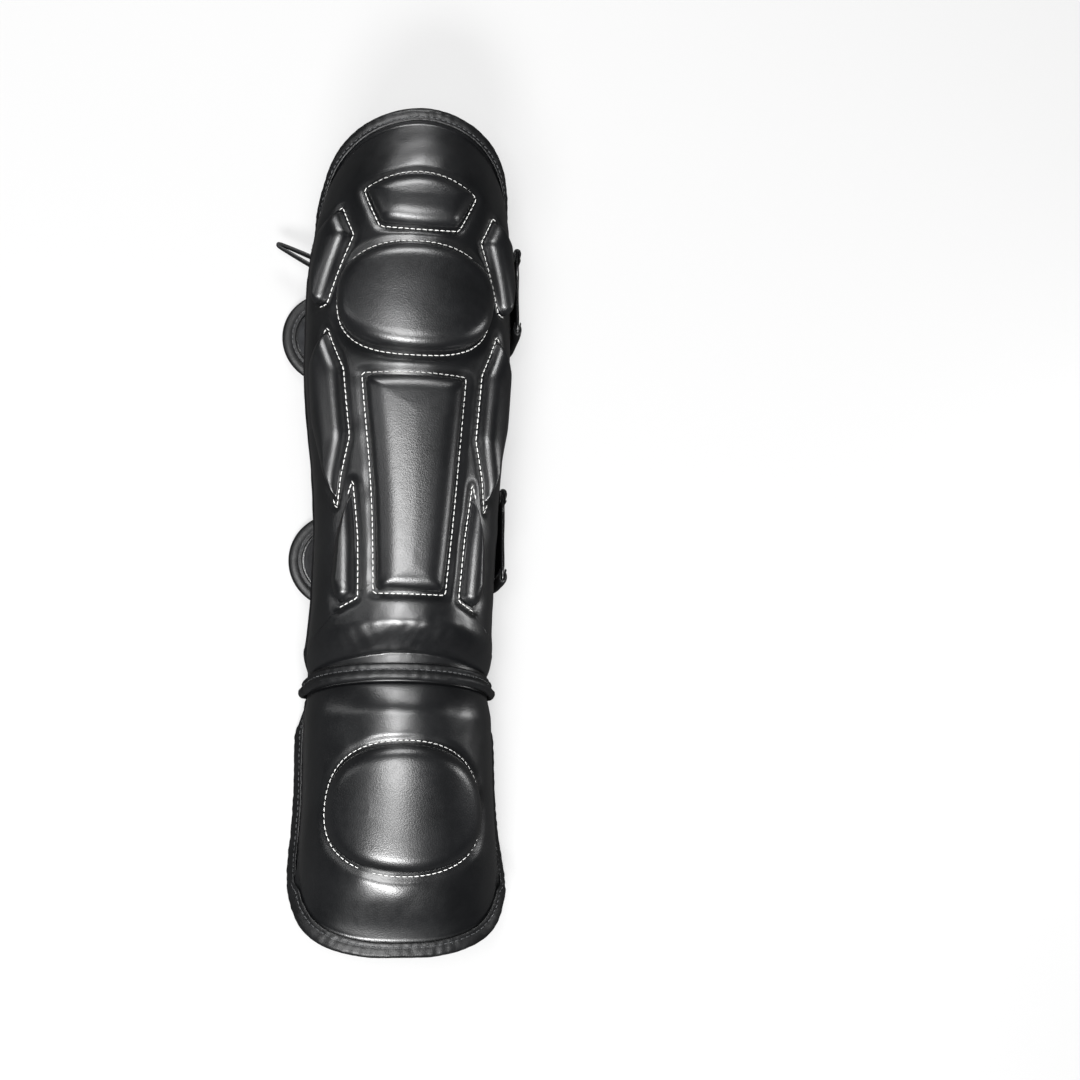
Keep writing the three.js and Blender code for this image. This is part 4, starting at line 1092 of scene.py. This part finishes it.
def pile_patch(name, outline, low, high, rough, node_name):
    """A fastener patch: a thin base whose upper face, or lower if rough is negative, stands up in pile."""
    length = np.linalg.norm(np.diff(outline, axis=0), axis=1).sum()
    ring = resample(outline, int(length / PILE_STEP), closed=True)
    centre = ring.mean(0)
    count = int(np.linalg.norm(ring - centre, axis=1).mean() / PILE_STEP)
    flat = np.array([mix(ring, centre, t) for t in np.linspace(0, 1, count)])
    rng = np.random.default_rng(len(ring))
    pile = rng.uniform(0, 1, flat.shape[:2]) ** 2 * rough
    pile[[0, -1]] = 0
    level = high + pile if rough > 0 else low + pile
    top = np.concatenate([flat, level[..., None]], -1)
    base = np.stack([flat[0], flat[0] * 0 + centre])
    other = np.full(base.shape[:2] + (1,), low if rough > 0 else high)
    bottom = np.concatenate([base, other], -1)[::-1]
    points, faces = net(np.concatenate([bottom, top]), caps=False)
    new_piece(name, points, faces, hook_pile, [node_name], "hook_and_loop", merge=WELD)


for name, root, tip in STRAPS:
    middle = strap_middle(name, root, tip)
    strap_body(name, middle)
    strap_tape(name, middle)
    turn = np.radians(np.linspace(-90, 90, 40))[:, None]
    end, onward, across = middle.path[-1, :2], middle.forward[-1, :2], middle.across[-1, :2]
    round_end = end + (onward * np.cos(turn) + across * np.sin(turn)) * HOOK_HALF
    back = end - onward * 14
    outline = np.vstack([back - across * HOOK_HALF, round_end, back + across * HOOK_HALF])
    pile_patch(f"{name}_hooks", outline, 3.2, 4.1, 0.75, f"{name}_hook_patch")
    print(name, "length without its round tip, mm:", round(len(middle.path) * STRAP_STEP))

# %% [markdown]
# ## Tabs with loop patches
# A padded tab is sewn along each side wall where a strap passes. It folds under the wall and lies
# level over the strap, with a thick hem and a patch of loops on its underside for the hooks. It is a
# net again: rows from the fold to the hem, at stations along the wall.

# %% Tabs
TAB_HEIGHT, TAB_HEM, TAB_HEM_WIDTH, TAB_FOLD = 6.3, 3.6, 6.0, 5.0
# name, side, place along the shin, width and length
TABS = [("upper_root_tab", 1, 0.692, 26, 84), ("upper_tip_tab", -1, 0.64, 17, 66),
        ("lower_root_tab", 1, 0.25, 26, 84), ("lower_tip_tab", -1, 0.215, 17, 66)]


def shin_edge(side, y):
    """Where the shin shell's edge lies, halfway between its leather and its lining."""
    arch = np.clip((y - SHIN + SHIN_ARCH) / SHIN_ARCH, 0, 1)
    return place(side * wall_end(y) * (1 - arch**SHIN_POWER) ** (1 / SHIN_POWER), y, SHEET_MIDDLE)


def make_tab(name, side, at, width, length):
    share = np.sin(np.radians(np.linspace(-90, 90, 63)))
    y = at * SHIN + share * length / 2
    edge = shin_edge(side, y)
    low = TAB_HEIGHT + TAB_HEM / 2
    fold = edge[:, 2] - 2.75 - low
    level = width * quarter_round((1 - np.abs(share)) / 0.45)
    hem = np.maximum(level - TAB_HEM_WIDTH, level * 0.3)
    rows = [(turn, 0 * level, 1.0) for turn in np.radians(np.arange(0, 91, 11.25))]
    rows += [(math.pi / 2, hem * t, 1.0) for t in (0.2, 0.4, 0.6, 0.8, 0.97)]
    rows += [(math.pi / 2, mix(hem, level, t), thick) for t, thick in
             ((0.12, 1.15), (0.26, 1.0), (0.4, 1.5), (0.6, 1.8), (0.8, 1.75), (0.93, 1.35), (1.0, 0.7))]
    faces_of = {1: [], -1: []}
    for turn, past, thick in rows:
        x = edge[:, 0] - side * (TAB_FOLD * (1 - math.cos(turn)) + past)
        wrinkle = 0.3 * waves(y, past * 0.6, 11, 81) * smooth(past / 5) * smooth((level - past) / 3)
        z = low + fold * (1 - math.sin(turn)) + wrinkle
        up = np.array([side * math.cos(turn), 0, -math.sin(turn)])
        for face in faces_of:
            faces_of[face].append(np.stack([x, y, z], -1) + up * face * thick)
    rings = np.array(faces_of[1] + faces_of[-1][::-1]).transpose(1, 0, 2)
    points, faces = net(rings)
    new_piece(f"{name}_flap", points, faces, strap_leather, [name], "leather", merge=WELD)
    dip = faces_of[1][15]
    down = np.repeat([[0, 0, -1.0]], len(dip), 0)
    sew(name, [stitch_row((dip + down * 0.1)[5:-5], down[5:-5], FINE_STITCH)])
    near, far, half = TAB_FOLD + 1, TAB_FOLD + width - TAB_HEM_WIDTH - 2, length * 0.3
    third, more = mix(near, far, 0.3), mix(near, far, 0.7)
    corners = np.array([(near, 4 - half), (near, half - 4), (third, half), (more, half),
                        (far, half - 4), (far, 4 - half), (more, -half), (third, -half)])
    spots = at * SHIN + corners[:, 1]
    outline = np.stack([shin_edge(side, spots)[:, 0] - side * corners[:, 0], spots], -1)
    pile_patch(f"{name}_loops", outline, 5.9, 6.9, -0.5, f"{name}_loop_patch")


for tab in TABS:
    make_tab(*tab)

# %% [markdown]
# ## Elastic bands
# Two ribbed elastic bands cross the open back, one over the heel and one under the foot. Their ends
# run up inside the walls and are sewn to the lining. A band is a sheet with ribs along its length.
# Ribs are a millimetre and a half apart, so they are modelled and not only shaded.

# %% Elastic bands
ELASTICS = [("ankle_elastic", shin, 0.074 * SHIN, 24.0), ("foot_elastic", instep, -0.43 * INSTEP, 44.0)]
ELASTIC_TURN_UP, ELASTIC_BEND = 13.0, 2.5
ELASTIC_EDGE = 6.5 + 2.1  # clear of the binding


def elastic_rows(y, width, count):
    """Rows of points across a band, from one sewn end to the other."""
    w = np.linspace(-0.5, 0.5, count) * width + y
    per = np.linalg.norm(roundwards(wall_end(w), w), axis=-1)
    halves = []
    for side in (1, -1):
        half = []
        for share in np.linspace(0, 1, 9):
            under = ELASTIC_EDGE + ELASTIC_BEND + ELASTIC_TURN_UP * (1 - share)
            half.append(place(side * (wall_end(w) - under / per), w, -2.2))
        sewn_end = half[-1]
        for turn in np.radians(np.linspace(18, 90, 5)):
            bend = np.array([-side * (1 - math.cos(turn)) * 1.1, 0, -math.sin(turn)])
            half.append(sewn_end + bend * ELASTIC_BEND)
        halves.append(half)
    right, left = halves
    between = [mix(right[-1], left[-1], t) for t in np.linspace(0, 1, 46)[1:-1]]
    return np.array(right + between + left[::-1])


for name, shell, y, width in ELASTICS:
    count = int(width / 1.5) * 4 + 1
    rows = elastic_rows(y, width, count)
    along = run_along(rows[:, count // 2])[-1] / 1000
    normal = unit(np.cross(np.gradient(rows, axis=0), np.gradient(rows, axis=1)))
    ribs = 0.16 * np.cos(np.arange(count) * math.pi / 2)[None, :, None]
    grid = rows + normal * ribs
    ids = np.arange(grid.shape[0] * count).reshape(grid.shape[:2])
    faces = np.stack([ids[:-1, :-1], ids[:-1, 1:], ids[1:, 1:], ids[1:, :-1]], -1).reshape(-1, 4).tolist()
    piece = new_sheet(f"{name}_web", grid.reshape(-1, 3), faces, elastic_web, name, 0.0011, 0.0)
    seams = []
    for row in (2, 6, -3, -7):
        line = rows[row][3:-3]
        inner = np.where(line[:, :1] > 0, -1.0, 1.0) * np.array([[1.0, 0, 0]])
        seams.append(stitch_row(line + inner * 0.75, inner, WEB_STITCH))
    sew(name, seams)
    print(name, "length, mm:", round(along * 1000, 1))

# %% [markdown]
# ## The hanging loop
# A narrow strip of leather, folded double with its fold pinched to a point, is caught under the left
# wall. It is swept out along one side and back along the other, and subdivision rounds its edges.

# %% Hanging loop
def hang_loop():
    root = shin_edge(-1, np.array([0.64 * SHIN + 33 + 3.9]))[0]
    start = root + (0, 0, -5.05)
    reach = np.array([-0.85, 0.45, -0.18])
    spread = np.array([0.3, 0.9, 0])
    reach, spread = unit(reach), unit(spread)
    tall = unit(np.cross(reach, spread))
    shares = np.array([0, 0.12, 0.3, 0.5, 0.7, 0.86, 0.96, 1.0])
    opening = 2.5 * np.where(shares < 1, 1 - shares**1.4 * 0.72, 0.2)
    middle, aside = start + reach * 30 * shares[:, None], spread * opening[:, None]
    line = np.vstack([middle + aside, (middle - aside)[::-1]])
    flat = unit(np.cross(unit(np.gradient(line, axis=0)), tall))
    arc = np.concatenate([shares, shares[::-1]])
    height = (2.7 * (1 - 0.6 * arc**3))[:, None]
    section = [(-1, -0.8), (-0.4, -1), (0.4, -1), (1, -0.8), (1, 0.8), (0.4, 1), (-0.4, 1), (-1, 0.8)]
    rings = np.stack([line + flat * a * 0.95 + tall * b * height for a, b in section], 1)
    points, faces = net(rings)
    piece = new_piece("hang_loop_strip", points, faces, edge_tape, ["hang_loop"], "edge_tape")
    rounded_off(piece)


hang_loop()

# %% [markdown]
# ## The studio
# The camera looks down on the guard from a little beyond its foot end and from its left. A soft light
# over the foot end makes the highlights on the lower side of each pad, one overhead lights the faces,
# and one beyond the knee end draws the upper edges. A weak strip on the left and a small patch on the
# right add thin lines along the walls. The floor glows for the camera only, so it looks white while
# the leather reflects a dark one.

# %% Camera, floor and lights
AIM, DISTANCE = np.array([0, 86.0, 45.0]), 850.0  # the point looked at and how far away the camera is
SCALE, IMAGE = 1.96, 1080  # pixels per millimetre at that point, and the picture's width
PICTURE_POINT = (408, 521)  # where that point lies in the picture
SENSOR = 36
yaw, pitch, roll = (math.radians(a) for a in (5, 9, 1.3))
toward = Vector((-math.sin(yaw) * math.cos(pitch), -math.sin(pitch), math.cos(yaw) * math.cos(pitch)))
right = (-toward).cross(Vector((0, 1, 0))).normalized()
up = right.cross(-toward).normalized()
turned_right = right * math.cos(roll) + up * math.sin(roll)
turned_up = up * math.cos(roll) - right * math.sin(roll)
centre = Vector(((AIM + ORIGIN) / 1000).tolist())
camera_at = centre + toward * (DISTANCE / 1000)
shift_right, shift_down = ((IMAGE / 2 - at) / SCALE / 1000 for at in PICTURE_POINT)
aim = centre + turned_right * shift_right - turned_up * shift_down
look = (aim - camera_at).normalized()
side = look.cross(turned_up).normalized()
camera = bpy.data.objects.new("camera", bpy.data.cameras.new("camera"))
camera.data.sensor_width = SENSOR
camera.data.lens = SCALE * DISTANCE / IMAGE * SENSOR
camera.data.clip_start, camera.data.clip_end = 0.01, 20
axes = Matrix((side, side.cross(look), -look)).transposed().to_4x4()
camera.matrix_world = Matrix.Translation(camera_at) @ axes
bpy.context.scene.collection.objects.link(camera)
bpy.context.scene.camera = camera

bpy.ops.mesh.primitive_plane_add(size=8, location=(0, 0, -0.0002))
floor = bpy.context.object
floor.name = "floor"
pale = bpy.data.materials.new("pale_floor")
pale.use_nodes = True
tree = pale.node_tree
tree.nodes.clear()
seen = node(tree, "ShaderNodeBsdfDiffuse", {}, {"Color": (0.24, 0.24, 0.24, 1)})
glow = node(tree, "ShaderNodeEmission", {}, {"Color": (1, 1, 1, 1), "Strength": 0.56})
lit = node(tree, "ShaderNodeAddShader")
tree.links.new(seen.outputs[0], lit.inputs[0])
tree.links.new(glow.outputs[0], lit.inputs[1])
dim = node(tree, "ShaderNodeBsdfDiffuse", {}, {"Color": (0.05, 0.05, 0.05, 1)})
path = node(tree, "ShaderNodeLightPath")
pick = node(tree, "ShaderNodeMixShader", links={"Fac": path.outputs["Is Camera Ray"]})
tree.links.new(dim.outputs[0], pick.inputs[1])
tree.links.new(lit.outputs[0], pick.inputs[2])
tree.links.new(pick.outputs[0], node(tree, "ShaderNodeOutputMaterial").inputs["Surface"])
floor.data.materials.append(pale)

world = bpy.data.worlds.new("studio")
world.use_nodes = True
background = world.node_tree.nodes["Background"]
background.inputs["Color"].default_value = (1, 1, 1, 1)
background.inputs["Strength"].default_value = 0.02
bpy.context.scene.world = world


def softbox(name, at, target, width, height, power):
    light = bpy.data.lights.new(name, "AREA")
    light.shape, light.size, light.size_y, light.energy = "RECTANGLE", width, height, power
    box = bpy.data.objects.new(name, light)
    box.location = at
    box.rotation_euler = (Vector(target) - Vector(at)).to_track_quat("-Z", "Y").to_euler()
    bpy.context.scene.collection.objects.link(box)


softbox("foot_light", (-0.22, -0.95, 1.0), (0, 0, 0.05), 0.6, 0.3, 22)
softbox("top_light", (-0.2, -0.15, 1.5), (0, 0, 0.05), 0.75, 0.6, 19)
softbox("knee_light", (-0.1, 1.3, 0.9), (0, 0.1, 0.05), 0.7, 0.45, 13)
softbox("left_strip", (-1.1, 0.1, 0.75), (0, 0, 0.05), 0.12, 1.3, 1.6)
softbox("right_patch", (0.55, -0.02, 0.16), (0.04, 0.06, 0.03), 0.1, 0.16, 0.5)
bpy.context.scene.view_settings.view_transform = "Standard"
print("camera at", [round(v, 3) for v in camera_at])
